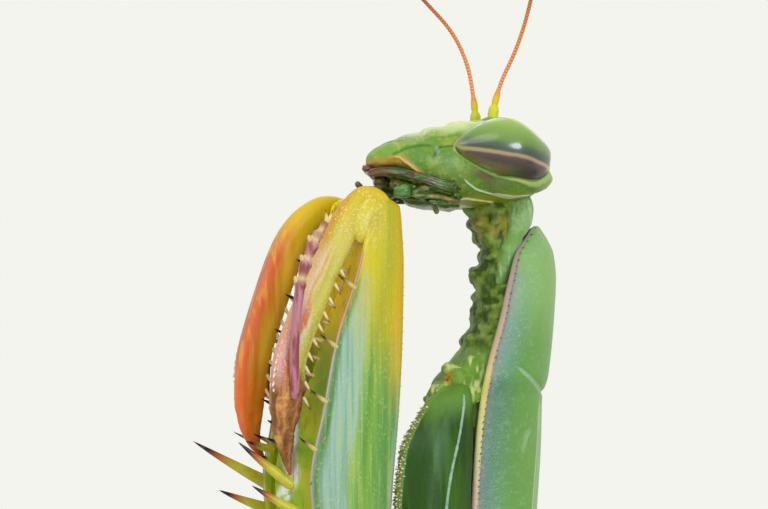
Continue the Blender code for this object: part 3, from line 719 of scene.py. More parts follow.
def head_finish():
    head = cuticle("head_cuticle", Coat_Weight=0.12, Coat_Roughness=0.25)
    blotch, fine, grit = head.noise(0.8, 5.0), head.noise(0.16, 4.0), head.noise(0.06, 3.0)
    height, mouthward, out = head.mark("height"), head.mark("mouthward"), head.mark("out")
    face = height.step(0.7, 1.3) * mouthward.step(0.2, 1.4) * mouthward.fall(2.6, 3.6)
    snout = mouthward.step(2.4, 3.0) * mouthward.fall(3.6, 4.1) * height.step(0.0, 0.5)
    slope, side = height - mouthward * 0.46, out.step(1.6, 2.2)
    temple = slope.hump(-1.42, 0.26) * mouthward.hump(1.25, 0.8) * side
    shade = slope.hump(-1.45, 0.4) * mouthward.hump(0.9, 1.3) * side
    hind = mouthward.fall(-1.7, -0.6) * height.fall(-0.6, 0.2)
    under = height.fall(-1.62, -1.36) * mouthward.fall(1.4, 2.4)
    lip = mouthward.step(3.9, 4.4)
    cheek = head.mark("cheek")
    lid = head.painted(
        head.blend(height.step(-0.9, -0.1) * mouthward.step(-0.4, 0.8), (150, 170, 96), (176, 188, 116)),
        (height.fall(0.0, 0.3) * mouthward.step(0.0, 0.9) * 0.9, 92, 120, 50),
    )
    return head.done(
        head.blend(height.step(-1.3, 1.2), (84, 106, 34), (132, 154, 64)),
        (blotch.step(0.45, 0.62) * 0.8, 70, 112, 22),
        (head.noise(0.6, 3.0).step(0.46, 0.68) * 0.3, 140, 166, 50),
        (fine.step(0.52, 0.75) * 0.3, 168, 184, 90),
        (face * (0.4 + blotch), 184, 198, 140),
        (snout * fine.step(0.4, 0.6) * 0.7, 74, 130, 30),
        (shade.step(0.1, 0.7) * 0.7, 72, 92, 36),
        (temple.step(0.1, 0.8) * 0.85, 84, 82, 40),
        (temple.step(0.3, 0.9) * fine.step(0.35, 0.6) * 0.7, 98, 66, 46),
        (hind * 0.7, 150, 166, 116),
        (under * 0.85, 128, 124, 12),
        (lip * 0.75, 104, 150, 34),
        (lip * height.fall(-0.1, 0.25) * 0.8, 164, 122, 52),
        (lip * height.fall(-0.3, -0.1) * 0.8, 120, 76, 36),
        (head.mark("lip") * 0.35, 180, 170, 60),
        (head.mark("fold").step(0.1, 0.8) * 0.7, 46, 96, 26),
        (head.mark("frons").step(0.2, 0.8) * 0.8, 196, 206, 140),
        (head.mark("vertex") * 0.5, 70, 104, 40),
        # painted highlight: a pale glint along the temple ridge
        (head.mark("temple").step(0.3, 0.9) * 0.8, 196, 210, 176),
        (cheek.step(0.2, 0.6), 166, 122, 50),
        (cheek.step(0.7, 1.0) * 0.8, 204, 184, 124),
        (head.mark("crease").step(0.2, 0.8) * 0.7, 40, 80, 24),
        (head.mark("knuckle") * 0.5, 128, 160, 132),
        (head.mark("gutter").step(0.3, 0.9) * 0.8, 186, 204, 186),
        (head.mark("rim").step(0.3, 0.9) * 0.75, lid),
        # painted shade: the ring where the eye meets the capsule is darkened for the shadow in the gap
        # between them
        (head.mark("socket").step(0.3, 0.9) * 0.7, 92, 108, 50),
        roughness=0.34 + 0.2 * fine, height=grit * 0.5 + fine + blotch, depth=0.03,
    )


# ------------ mouth
MANDIBLE = (
    (1.9, 1.2, -1.0), (2.5, 1.5, -1.16), (3.1, 1.45, -1.0), (3.8, 1.2, -0.72),
    (4.4, 0.85, -0.52), (4.8, 0.4, -0.46), (5.1, 0.05, -0.5),
)
STIPES = ((1.5, 1.0, -1.25), (2.2, 1.3, -1.42), (3.0, 1.2, -1.26), (3.8, 0.95, -1.04), (4.4, 0.5, -0.9))
JAW_LIFT, PALP_LIFT = 0.22, 0.55  # how much higher the right side's are held
# the left outer palp is folded back under the jaws, the right one reaches out past them
FOLDED_PALP = (
    (2.9, 1.3, -1.2), (3.5, 1.6, -1.2), (3.95, 1.5, -1.42), (3.5, 1.55, -1.5), (2.8, 1.7, -1.56),
    (2.0, 1.7, -1.78),
)
REACHING_PALP = (
    (2.9, -1.3, -0.98), (3.6, -1.5, -0.95), (4.3, -1.3, -0.95), (4.75, -1.1, -0.95), (5.05, -1.0, -0.72),
)
INNER_PALP = ((2.9, 0.5, -1.5), (3.1, 0.7, -1.52), (2.75, 0.9, -1.8), (2.6, 1.0, -2.14))


def palp(path, size, joints):
    """A round feeler drawn in at its joints, whose mark tells how near each joint is."""
    line, t = through(path, 70), np.linspace(0, 1, 70)
    pinch = sum(hump(t, k / joints, 0.22 / joints) for k in range(1, joints))
    sizes = rounded(line, size) * (1 - 0.3 * pinch) * (1 + 0.25 * crumple(line, 0.25))
    return grid_mesh(rings(line, sizes, sizes, 16), HEAD, {"joint": pinch[:, None], "along": t[:, None]})


def on_both_sides(make):
    """The same body on the left and on the right, one mesh."""
    return joined([make(side) for side in SIDES.values()])


def sided(points, side, lift):
    """A left path as it is, or mirrored and held this much higher for the right side."""
    return [(x, y * side, z + lift * (side < 0)) for x, y, z in points]


def mandibles(finish):
    def one(side):
        line, t = through(sided(MANDIBLE, side, JAW_LIFT), 60), np.linspace(0, 1, 60)
        deep = rounded(line, 0.52 - 0.33 * t, 1.0, 0.5) * (1 + 0.12 * crumple(line, 0.5))
        grid = rings(line, deep * 0.7, deep, 60, (0, 1, 0), 0.75)
        round_it = np.arange(60) / 60
        ribs = 0.08 * np.sin(round_it * math.tau * 7) + 0.04 * np.sin(round_it * math.tau * 13)
        grid = line[:, None] + (grid - line[:, None]) * (1 + ribs)[None, :, None]
        return grid_mesh(grid, HEAD, {"along": t[:, None], "rib": ribs[None, :] * 9})

    settle("mandibles", on_both_sides(one), "cuticle_green", finish, "mouthparts")


def maxillae(finish):
    def one(side):
        line, t = through(sided(STIPES, side, JAW_LIFT), 60), np.linspace(0, 1, 60)
        deep = rounded(line, 0.4 - 0.18 * t) * (1 + 0.15 * crumple(line, 0.3))
        deep = deep * (1 - 0.22 * (hump(t, 0.3, 0.05) + hump(t, 0.62, 0.05)))
        return grid_mesh(rings(line, deep * 0.9, deep, 24, (0, 1, 0)), HEAD, {"along": t[:, None]})

    lip = ball((2.3, 0, -1.62), (1.2, 0.85, 0.26), HEAD, turn=(0, -7, 0))
    knobs = [ball(at, (0.42, 0.3, 0.3), HEAD) for at in ((4.15, 1.2, -1.26), (3.7, -1.1, -1.1))]
    for knob in knobs:
        write_marks(knob, {"knob": 1.0})
    plates = []
    for side, height in ((1, -1.62), (-1, -1.27)):
        plates.append(ball((2.5, side * 1.5, height), (0.8, 0.1, 0.2), HEAD, (side * 20, 8, 0)))
    mesh = joined([on_both_sides(one), lip, *knobs, *plates])
    local, normals = points_of(mesh, HEAD)
    rough = crumple(local, 0.16) * 0.05 + crumple(local, 0.4, 9) * 0.09
    move_to(mesh, local + normals * rough[:, None], HEAD)
    settle("maxillae", mesh, "cuticle_green", finish)


def palps(finish):
    outer = joined([palp(path, 0.12, 5) for path in (FOLDED_PALP, REACHING_PALP)])
    inner = on_both_sides(lambda side: palp(sided(INNER_PALP, side, PALP_LIFT), 0.1, 3))
    settle("palps", joined([outer, inner]), "cuticle_green", finish)


def mouth_finish(name, dark):
    mouth = cuticle(name, Roughness=0.3, Coat_Weight=0.4, Coat_Roughness=0.1)
    streak = mouth.noise(0.3, 5.0, (0.4, 1, 1.6))
    fine = mouth.noise(0.12, 3.0)
    along = mouth.mark("along")
    bright = mouth.blend(streak.step(0.4, 0.6), (50, 104, 24), (96, 136, 76))
    return mouth.done(
        mouth.blend(streak.step(0.44, 0.56), (28, 66, 4), (82, 116, 28)),
        (streak.step(0.5, 0.58) * dark, 52, 34, 10),
        (fine.step(0.55, 0.65) * 0.6, 118, 92, 40),
        ((along + streak * 0.4).step(0.88, 1.1) * dark, 100, 64, 38),
        (mouth.mark("rib").step(0.3, 0.8) * 0.6, 40, 34, 10),
        (mouth.mark("knob") * (0.3 + 0.4 * fine), bright),
        (mouth.mark("joint") * 0.35, 170, 160, 90),
        height=streak + fine * 0.4, depth=0.06,
    )


# ------------ antennae
# share of the length: lean from straight up in degrees
FLAGELLUM_LEAN = {
    "left": ((0.0, 6), (0.04, 20), (0.09, 33), (0.19, 19), (0.4, 17), (1.0, 34)),
    "right": ((0.0, 0), (0.08, 8), (0.2, 41), (0.45, 44), (1.0, 60)),
}
FLAGELLUM_AWAY = {"left": (-0.5, 0.87, 0), "right": (0.6, -0.8, 0)}
SOCKET_SHIFT = {"left": (0, 0, -0.14), "right": (-0.18, 0, -0.22)}
ANTENNA_LENGTH = 24.0
RING_LENGTH, FIRST_RING = 0.13, 1.1
# distance from the socket: radius of scape, pedicel and first ring
SCAPE = (
    (0, 0.17), (0.15, 0.21), (0.4, 0.21), (0.56, 0.18), (0.66, 0.12), (0.8, 0.14), (1.0, 0.13), (1.15, 0.1),
    (1.3, 0.08),
)


def antenna_line(word):
    """The line that the feeler follows, from its socket to its tip."""
    share = np.linspace(0, 1, 400)
    lean = np.radians(np.interp(share, *np.array(FLAGELLUM_LEAN[word]).T))
    away = np.array(FLAGELLUM_AWAY[word])
    steps = np.array((0, 0, 1)) * np.cos(lean)[:, None] + away * np.sin(lean)[:, None]
    base = np.array((SOCKET[0], SIDES[word] * SOCKET[1], SOCKET[2])) + SOCKET_SHIFT[word]
    return base + np.cumsum(steps, axis=0) * ANTENNA_LENGTH / len(share)


def antenna(word, finish):
    line = antenna_line(word)
    gone = np.linspace(0, ANTENNA_LENGTH, len(line))
    stalk = gone < SCAPE[-1][0]
    size = rows(SCAPE, gone[stalk])[0]
    marks = {"along": (gone[stalk] / ANTENNA_LENGTH)[:, None]}
    stem = grid_mesh(rings(line[stalk], size, size, 24, (0, 1, 0)), HEAD, marks)
    count = int((ANTENNA_LENGTH - FIRST_RING) / RING_LENGTH)
    at = FIRST_RING + np.arange(count) * RING_LENGTH
    places = np.column_stack([np.interp(at, gone, line[:, k]) for k in range(3)])
    ways = np.column_stack([np.interp(at, gone, np.gradient(line[:, k])) for k in range(3)])
    share = at / ANTENNA_LENGTH
    width = 0.095 - 0.05 * share
    beads = grown("ring", places, ways, RING_LENGTH * 1.02, width, finish, HEAD, 10, 4, 0.3, along=share)
    settle(f"antenna_{word}_rings", joined([stem, beads]), "antenna", finish, f"antenna_{word}")


def antenna_finish():
    feeler = cuticle("antenna_cuticle", Roughness=0.45)
    along, tip = feeler.mark("along"), feeler.mark("tip")
    seam = tip.hump(1.0, 0.3) * along.step(0.045, 0.06)
    return feeler.done(
        feeler.ramp(
            along * 4,
            (0.0, 176, 190, 60), (0.1, 190, 184, 20), (0.15, 204, 170, 20), (0.19, 208, 130, 50),
            (0.22, 216, 140, 104), (0.6, 200, 120, 60), (1.0, 140, 76, 40),
        ),
        (along.step(0.3, 0.9), 74, 44, 30),
        (seam * 0.55, 110, 56, 26),
        height=feeler.noise(0.05, 2.0), depth=0.004,
    )


# ------------ shield
# level above the rear end: distances back of the side margin and of the keel, half width
PRONOTUM = (
    (0.0, -1.0, 1.75, 2.15), (2.0, -0.85, 1.85, 1.75), (8.4, -0.42, 2.3, 1.7),
    (11.2, -0.28, 2.47, 1.9), (12.8, -0.12, 2.5, 2.2), (13.7, 0.02, 2.72, 2.5),
    (15.9, 0.62, 2.92, 2.25), (17.4, 0.98, 2.98, 2.0), (18.4, 1.28, 2.86, 1.6),
    (18.9, 1.62, 2.62, 1.12), (19.25, 1.9, 2.38, 0.6), (19.45, 2.08, 2.22, 0.16),
    (19.5, 2.14, 2.16, 0.02),
)
SULCUS = 12.98  # level of the furrow where it crosses the keel
SHIELD_THICK = 0.22
LINING = 9.0  # what the crest mark says inside the shield, past any distance from the crest outside


def shield(finish):
    level = np.concatenate([np.linspace(0.0, 18.8, 260), np.linspace(18.85, 19.5, 30)])
    margin, keel, width = rows(PRONOTUM, level)[..., None]
    s = np.linspace(0, 1, 121)
    t = math.pi / 2 * (1 - np.cos(math.pi * s))
    rise = keel - margin
    sine, cosine = np.maximum(np.sin(t), 0), np.cos(t)
    ridge = hump(t, math.pi / 2, 0.045)
    back = margin + rise * 0.95 * sine**0.8 + ridge * 0.09
    left = width * cosine
    furrow = SULCUS + 1.6 * (1 - sine)
    groove = hump(level[:, None], furrow, 0.09) * step(sine, 0.2, 0.5)
    lobe = step(level[:, None], furrow, furrow + 0.9) * sine
    overhang = hump(level[:, None], furrow + 0.3, 0.35) * sine
    press = 0.04 * lobe + 0.03 * overhang - 0.09 * groove
    outer = grid_of(-back - press * sine, left + press * cosine, BASE + level[:, None])
    lining = np.maximum(back - SHIELD_THICK * sine**0.3, margin)
    inner = grid_of(-lining, left * 0.94, BASE + level[:, None])
    gone = np.cumsum(np.linalg.norm(np.diff(outer, axis=1, prepend=outer[:, :1]), axis=2), axis=1)
    edge, crest = np.minimum(gone, gone[:, -1:] - gone), np.abs(gone - gone[:, -1:] / 2)
    marks = {
        "edge": there_and_back(edge, edge), "groove": there_and_back(groove, 0 * groove),
        "keel": there_and_back(ridge[None], 0 * ridge[None]), "level": level[:, None],
        "crest": there_and_back(crest, np.full_like(crest, LINING)),
    }
    mesh = grid_mesh(there_and_back(outer, inner), STANCE, marks)
    settle("pronotum_shield", mesh, "cuticle_green", finish, "pronotum")


def margin_line(word, count):
    level = np.linspace(0.05, 19.4, count)
    margin, _, width = rows(PRONOTUM, level)
    return level, np.column_stack([-margin, SIDES[word] * width, BASE + level])


def shield_rim(word, finish):
    level, line = margin_line(word, 240)
    size = 0.135 * rounded(line, 1.0, 1.5, 6)
    mesh = grid_mesh(rings(line, size * 0.8, size, 16, (1, 0, 0)), STANCE, {"level": level[:, None]})
    settle(f"pronotum_rim_{word}", mesh, "cuticle_green", finish)


def shield_teeth(word, finish):
    side = SIDES[word]
    _, line = margin_line(word, 78)
    rng = np.random.default_rng(4)
    line = line + rng.normal(0, 0.015, line.shape) + np.array((-0.09, side * 0.06, 0))
    ways = np.array((-0.5, side * 0.8, 0.35)) + rng.normal(0, 0.12, line.shape)
    lengths = rng.uniform(0.06, 0.13, len(line))
    mesh = grown("spine", line, ways, lengths, 0.035, finish, STANCE, 5, 3)
    settle(f"pronotum_teeth_{word}", mesh, "cuticle_green", finish)


def shield_finish():
    shell = cuticle("pronotum_cuticle", Roughness=0.42, Coat_Weight=0.1, Coat_Roughness=0.3)
    edge, level = shell.mark("edge"), shell.mark("level")
    pits, blotch, fine = shell.cells(0.1), shell.noise(1.6, 4.0, (1, 1, 0.5)), shell.noise(0.2, 4.0)
    crest, grain = shell.mark("crest"), shell.noise(0.07, 2.0)
    upper = level.step(14.4, 17.2)
    sheen = edge.fall(0.4, 1.4) * (1 - upper * 0.5) * level.fall(17.0, 18.4) * (0.4 + 0.75 * blotch)
    mauve = edge.fall(0.05, 0.55) * level.fall(17.4, 18.6) * (0.3 + 0.6 * blotch)
    lower = 1 - level.step(12.2, 13.0)
    patch = shell.noise(1.1, 2.0, (1, 1, 0.6)).step(0.6, 0.7) * edge.step(1.2, 2.2)
    strip = crest.fall(0.5, 0.95) * lower
    return shell.done(
        shell.blend(edge.step(0.6, 2.6), (80, 126, 64), (100, 142, 66)),
        (blotch.step(0.42, 0.66) * 0.6, 94, 144, 62),
        (upper * 0.6, 134, 170, 100),
        (sheen, 80, 120, 104),
        (mauve, 126, 116, 134),
        (fine.step(0.5, 0.72) * 0.22, 150, 172, 140),
        (grain.step(0.6, 0.7) * edge.fall(0.8, 1.6) * 0.4, 160, 160, 170),
        (patch * lower * 0.45, 152, 178, 136),
        (shell.mark("groove").step(0.2, 0.8) * 0.75, 146, 176, 146),
        (strip * 0.35, 180, 194, 150),
        (crest.hump(0.78, 0.07) * lower * 0.7, 196, 206, 180),
        (shell.mark("keel").step(0.2, 0.7) * 0.75, 160, 178, 140),
        (crest.step(LINING - 1.0, LINING - 0.1), 130, 160, 96),
        roughness=0.4 + 0.16 * fine, height=pits + fine + blotch * 0.5, depth=0.014,
    )


def rim_finish():
    rim = cuticle("pronotum_rim")
    level, spots = rim.mark("level"), rim.noise(0.14, 3.0)
    return rim.done(
        rim.ramp(
            level / 19.4,
            (0.0, 168, 152, 118), (0.42, 182, 160, 142), (0.58, 194, 186, 130),
            (0.68, 190, 178, 108), (0.75, 164, 142, 114), (0.86, 146, 126, 114),
            (0.96, 130, 124, 114),
        ),
        (spots.step(0.55, 0.75) * 0.35, 150, 112, 104),
        height=spots, depth=0.006,
    )


def dark_tip_finish(name, base, middle, tip, turn_at=0.6):
    """A spine's colours from its root to its point."""
    spine = cuticle(name, Roughness=0.25)
    along = spine.mark("tip")
    speck = spine.noise(0.2, 3.0)
    return spine.done(
        spine.ramp(along, (0.0, *base), (turn_at - 0.25, *base), (turn_at, *middle), (turn_at + 0.14, *tip)),
        (speck.step(0.5, 0.75) * 0.25, middle),
        height=speck, depth=0.006,
    )


# ------------ breast and neck
# level: distance back of the breast line, how full it is
BREAST = (
    (0.0, -1.5, 0.75), (8.4, -1.35, 0.55), (12.0, -1.7, 0.5), (13.2, -1.95, 0.55),
    (14.2, -1.2, 0.7), (15.2, -0.45, 0.78), (16.4, -0.25, 0.82), (17.2, -0.2, 0.85),
)
# level: distances back of the throat and the nape, half width
NECK = (
    (15.4, -0.2, 0.6, 1.3), (16.4, -0.22, 0.7, 1.4), (17.3, -0.15, 0.9, 1.38),
    (18.3, 0.05, 1.3, 1.3), (19.1, -0.16, 1.6, 1.32), (19.8, -0.45, 1.85, 1.4),
    (20.6, -0.75, 1.75, 1.3), (21.3, -0.6, 1.6, 1.1),
)
SHIELD_SHARE = 0.3  # of the arch's height, left for the shield over the body
# distance back, to the left, level: then the three half sizes
SKIN_LUMPS = (
    (-0.05, 0.35, 17.7, 0.42, 0.5, 0.26), (0.0, -0.3, 17.35, 0.34, 0.5, 0.22),
    (-0.35, 0.5, 15.0, 0.42, 0.6, 0.3), (-0.05, 0.4, 19.6, 0.42, 0.75, 0.36),
    (0.2, 0.6, 19.0, 0.4, 0.7, 0.3), (0.3, 0.7, 18.3, 0.3, 0.6, 0.25),
    (0.15, 0.6, 16.7, 0.35, 0.8, 0.3), (-0.1, 0.2, 16.1, 0.28, 0.9, 0.24),
    (-0.1, 0.3, 15.55, 0.25, 0.9, 0.2), (1.0, 0.8, 20.5, 0.8, 0.6, 0.3),
    (0.5, 1.0, 19.9, 0.5, 0.5, 0.4), (-0.2, 1.0, 14.5, 0.5, 0.6, 0.4),
)
JOINT_LUMPS = (
    (-1.6, 1.85, 13.05, 0.55, 0.45, 0.42), (-0.95, 1.9, 13.5, 0.55, 0.5, 0.5),
    (-0.35, 1.75, 13.9, 0.55, 0.5, 0.6), (-2.0, 1.6, 12.75, 0.32, 0.3, 0.3),
    (-0.5, 2.0, 12.9, 0.45, 0.35, 0.4), (0.1, 1.8, 13.0, 0.45, 0.4, 0.7),
    (-1.25, 1.6, 13.9, 0.4, 0.4, 0.3), (-0.15, 1.45, 12.1, 0.4, 0.4, 0.7),
)
JOINT_SPOT = (-1.4, 1.95, 13.55)  # a dark spot by the left foreleg's joint
# centre, half sizes, lean
CERVICAL_PLATES = (((1.04, 1.15, 18.5), (0.4, 0.36, 1.8), 15), ((1.46, 1.06, 19.86), (0.5, 0.48, 0.95), 12))


def joint_lumps(side):
    """The soft skin round a coxal joint; the right one lies further back."""
    shift = -0.1 if side > 0 else 1.0
    return tuple((back + shift, *rest) for back, *rest in JOINT_LUMPS)


def stance_point(back, left, level):
    return np.array((-back, left, BASE + level))


def prothorax_grid():
    level = np.linspace(-0.5, 17.2, 150)
    margin, keel, width = rows(PRONOTUM, level)[..., None]
    breast, fullness = rows(BREAST, level)[..., None]
    rise = (keel - margin) * (1 - SHIELD_SHARE) - 0.1
    middle = margin - 0.05
    c, s = circle(72)
    c = np.where(s < 0, signed_power(c, 1 / fullness), c)
    back = middle + s * np.where(s > 0, rise, middle - breast)
    return grid_of(-back, (width - 0.3) * c, BASE + level[:, None])


def neck_grid():
    level = np.linspace(NECK[0][0], NECK[-1][0], 70)
    throat, nape, half = rows(NECK, level)[..., None]
    c, s = circle(64)
    back = (throat + nape) / 2 + s * (nape - throat) / 2
    return grid_of(-back, half * c, BASE + level[:, None])


def plate_share(points, side):
    """1 on the edge of the neck's side plates, less inside them."""
    shares = []
    for middle, halves, lean in CERVICAL_PLATES:
        off = points - stance_point(middle[0], side * middle[1], middle[2])
        tilt = math.radians(-lean)
        forward = off[:, 0] * math.cos(tilt) - off[:, 2] * math.sin(tilt)
        up = off[:, 0] * math.sin(tilt) + off[:, 2] * math.cos(tilt)
        shares.append(np.linalg.norm(np.column_stack([forward, off[:, 1], up]) / halves, axis=1))
    return np.min(shares, axis=0)


def breast_and_neck(finish):
    lumps = [grid_mesh(prothorax_grid(), STANCE), grid_mesh(neck_grid(), STANCE)]
    for side in SIDES.values():
        for back, left, level, *halves in SKIN_LUMPS + joint_lumps(side):
            lumps.append(ball(stance_point(back, side * left, level), halves, STANCE))
        for middle, halves, lean in CERVICAL_PLATES:
            at = stance_point(middle[0], side * middle[1], middle[2])
            lumps.append(ball(at, halves, STANCE, (0, -lean, 0)))
    mesh = fused(lumps, 0.085, 2)
    local, normals = points_of(mesh, STANCE)
    level = local[:, 2] - BASE
    share = np.minimum(plate_share(local, 1), plate_share(local, -1))
    plate = 1 - step(share, 0.95, 1.15)
    joint = np.min([
        np.linalg.norm((local - stance_point(back, side * left, high)) / max(halves), axis=1)
        for side in SIDES.values()
        for back, left, high, *halves in joint_lumps(side)
    ], axis=0)
    joint = 1 - step(joint, 0.9, 1.3)
    soft = step(level, 14.2, 15.2) * (1 - plate)
    folds = crumple(local * (1, 1, 1.8), 0.55) * 0.16 + crumple(local, 0.22, 7) * 0.06
    wrinkle = crumple(local * (1, 1, 0.4), 0.5, 3) * 0.05
    wrinkle = wrinkle * (1 - soft) * (1 - plate)
    swell = crumple(local, 0.22, 11) * 0.07 * joint + folds * soft + wrinkle - 0.12 * hump(share, 1.12, 0.08)
    move_to(mesh, local + normals * swell[:, None], STANCE)
    spot = np.linalg.norm(local - stance_point(*JOINT_SPOT), axis=1)
    write_marks(mesh, {
        "spot": 1 - step(spot, 0.2, 0.45), "plate": plate, "soft": soft, "joint": joint, "level": level,
        "fold": np.clip(swell * 6, -1, 1),
    })
    settle("breast_and_neck_skin", mesh, "membrane", finish, "prothorax", "neck")


def membrane_finish():
    skin = cuticle("neck_and_breast_skin", Roughness=0.5, Specular_IOR_Level=0.12)
    soft, level, fold = skin.mark("soft"), skin.mark("level"), skin.mark("fold")
    blotch, fine, lines = skin.noise(0.55, 4.0), skin.noise(0.12, 3.0), skin.noise(0.3, 3.0, (1, 1, 0.25))
    wet = skin.painted(
        skin.blend(blotch.step(0.42, 0.6), (50, 72, 20), (92, 116, 40)),
        (fold.step(-0.1, 0.6) * 0.6, 128, 146, 70),
        (level.hump(19.4, 0.9) * lines.step(0.45, 0.62) * 0.7, 150, 128, 48),
    )
    joint = skin.mark("joint")
    plate = skin.painted(
        skin.blend(blotch.step(0.4, 0.6), (106, 142, 78), (132, 158, 110)),
        (lines.step(0.55, 0.66) * 0.7, 166, 190, 150),
        (fine.step(0.5, 0.64) * 0.35, 84, 126, 56),
    )
    spots = skin.cells(0.75).step(0.1, 0.06) * soft
    return skin.done(
        skin.blend(blotch.step(0.35, 0.65), (74, 100, 32), (106, 134, 52)),
        (soft, wet),
        (level.step(12.5, 14.2) * (1 - soft) * 0.5, 112, 146, 58),
        (joint * 0.75, 102, 136, 52),
        (joint * blotch.step(0.45, 0.6) * 0.6, 74, 116, 30),
        (joint * lines.step(0.52, 0.64) * 0.8, 176, 186, 120),
        (skin.mark("spot") * 0.8, 150, 116, 30),
        (skin.mark("spot") * fine.step(0.5, 0.6) * 0.8, 84, 50, 20),
        (skin.mark("plate") * 0.9, plate),
        (spots * 0.7, 36, 40, 20),
        roughness=0.5 - 0.2 * blotch, height=fine + lines, depth=0.02,
    )


# ------------ forelegs
JOINT_HEIGHT = 27.9
# level under the joint: distance forward, half depth, half thickness
FORE_COXA = (
    (-9.7, 0.95, 0.5, 0.6), (-9.4, 0.92, 0.75, 0.8), (-8.0, 0.95, 1.1, 0.95),
    (-4.9, 0.93, 1.5, 1.0), (-2.5, 0.8, 1.45, 0.98), (-1.5, 0.58, 1.22, 0.9),
    (-0.9, 0.4, 1.02, 0.84), (-0.5, 0.24, 0.9, 0.74), (-0.15, 0.02, 0.62, 0.55),
    (0.08, -0.16, 0.32, 0.3), (0.15, -0.22, 0.08, 0.08),
)
COXA_RIDGE = ((0.0, -0.3), (0.06, -0.8), (0.24, -1.8), (0.61, -3.4), (0.83, -4.9), (0.95, -6.5), (0.95, -8.3))
COXA_GRANULE_ROWS, COXA_GRANULE_LINES = 64, (-0.3, -0.06, 0.12, 0.34)  # each line's angle from the front
# forward, height: then half size in the bend's plane and across it
TROCHANTER = (
    (0.9, 18.9, 0.42, 0.5), (1.05, 18.0, 0.5, 0.6), (1.6, 17.3, 0.5, 0.7), (2.6, 16.95, 0.52, 0.75),
    (3.6, 17.35, 0.52, 0.74), (4.2, 18.25, 0.55, 0.7), (4.35, 19.35, 0.6, 0.62),
    (4.4, 20.4, 0.5, 0.5),
)
# height: how far forward the back and belly edges lie, thickness
FORE_FEMUR = (
    (19.7, 3.9, 4.8, 0.8), (20.2, 3.6, 5.2, 1.1), (21.0, 3.1, 6.0, 1.5), (23.0, 2.8, 6.5, 1.8),
    (24.3, 2.7, 6.6, 1.8), (27.0, 2.45, 6.05, 1.7), (29.7, 2.3, 5.45, 1.5),
    (32.5, 2.25, 4.45, 1.25), (34.0, 2.33, 4.1, 1.2), (34.8, 2.42, 4.0, 1.24),
    (35.2, 2.6, 3.8, 1.2),
)
FEMUR_SECTION = (
    (0.0, 0.0), (0.02, 0.16), (0.1, 0.38), (0.3, 0.66), (0.6, 0.86), (0.86, 1.0),
    (0.96, 1.0), (1.0, 0.88), (0.975, 0.7), (0.945, 0.4), (0.935, 0.0),
)
# forward, height, half depth, half thickness
TIBIA_PATH = {
    "left": (
        (2.9, 34.3, 0.3, 0.3), (3.3, 34.98, 0.42, 0.36), (3.9, 35.12, 0.5, 0.4),
        (4.4, 34.7, 0.52, 0.46), (4.78, 34.1, 0.56, 0.49), (5.22, 33.2, 0.62, 0.48),
        (5.98, 31.6, 0.66, 0.48), (7.0, 29.2, 0.68, 0.48), (7.15, 27.8, 0.72, 0.46),
        (7.3, 26.75, 0.55, 0.38), (7.3, 25.7, 0.32, 0.24), (7.08, 24.55, 0.05, 0.05),
    ),
    "right": (
        (2.9, 34.1, 0.3, 0.3), (3.3, 34.7, 0.42, 0.36), (4.0, 34.75, 0.52, 0.46),
        (4.6, 34.45, 0.56, 0.5), (5.1, 33.95, 0.64, 0.49), (5.6, 33.1, 0.72, 0.48),
        (6.2, 31.6, 0.74, 0.48), (7.0, 29.2, 0.72, 0.48), (7.2, 27.7, 0.66, 0.44),
        (7.22, 26.75, 0.54, 0.36), (7.08, 25.8, 0.3, 0.22), (6.62, 25.0, 0.05, 0.05),
    ),
}
# where the tibia's claw shuts against the femur
CLAW_GROOVE = (
    (5.9, 0, 29.6), (6.3, 0, 28.2), (6.65, 0, 26.9), (6.9, 0, 25.3), (6.86, 0, 24.5), (7.1, 0, 23.7),
)
OUTER_FEMUR_SPINES = (25.47, 27.3, 29.4, 31.67)
# height, lengths on the near and the far leg, width, rise in degrees, outward place
DISCOIDAL_SPINES = (
    (25.4, 1.3, 1.3, 0.2, 24, -0.72),
    (24.1, 2.85, 3.75, 0.27, 36, -0.5),
    (23.1, 2.15, 2.35, 0.24, 28, -0.35),
    (22.2, 1.2, 1.5, 0.2, 14, -0.15),
)
FAR_SPINE_DROP = 10  # degrees less rise on the far leg
# forward, outward, height, half thickness
FORE_TARSUS = (
    (7.1, 0.36, 27.55, 0.17), (7.15, 0.62, 27.8, 0.19), (7.25, 0.72, 29.2, 0.19), (7.12, 0.82, 31.2, 0.18),
    (6.95, 0.84, 32.2, 0.2), (6.66, 0.86, 33.0, 0.2), (6.4, 0.88, 33.6, 0.2), (6.2, 0.88, 33.9, 0.17),
    (5.95, 0.88, 34.25, 0.13),
)
FORE_TARSUS_JOINTS = (0.66, 0.77, 0.88, 0.94)  # shares of its length


def coxa_place(word, level):
    """Where the coxa's middle lies at a level, forward and to the left, and its two half sizes."""
    forward, half, thick = rows(FORE_COXA, level)
    reach = LEG_REACH[word]
    middle = hump(np.asarray(level), -4.5, 3.2)
    if reach:
        level = np.asarray(level)
        drawn_back = reach + 0.3 + 0.45 * middle + 0.45 * step(level, -9, -3)
        forward = forward + reach * (level / 9.4) ** 2 - drawn_back
    else:
        forward, half = forward + 0.14 * middle, half + 0.1 * middle
    return forward, SIDES[word] * (0.4 if reach else 0.1), half, thick


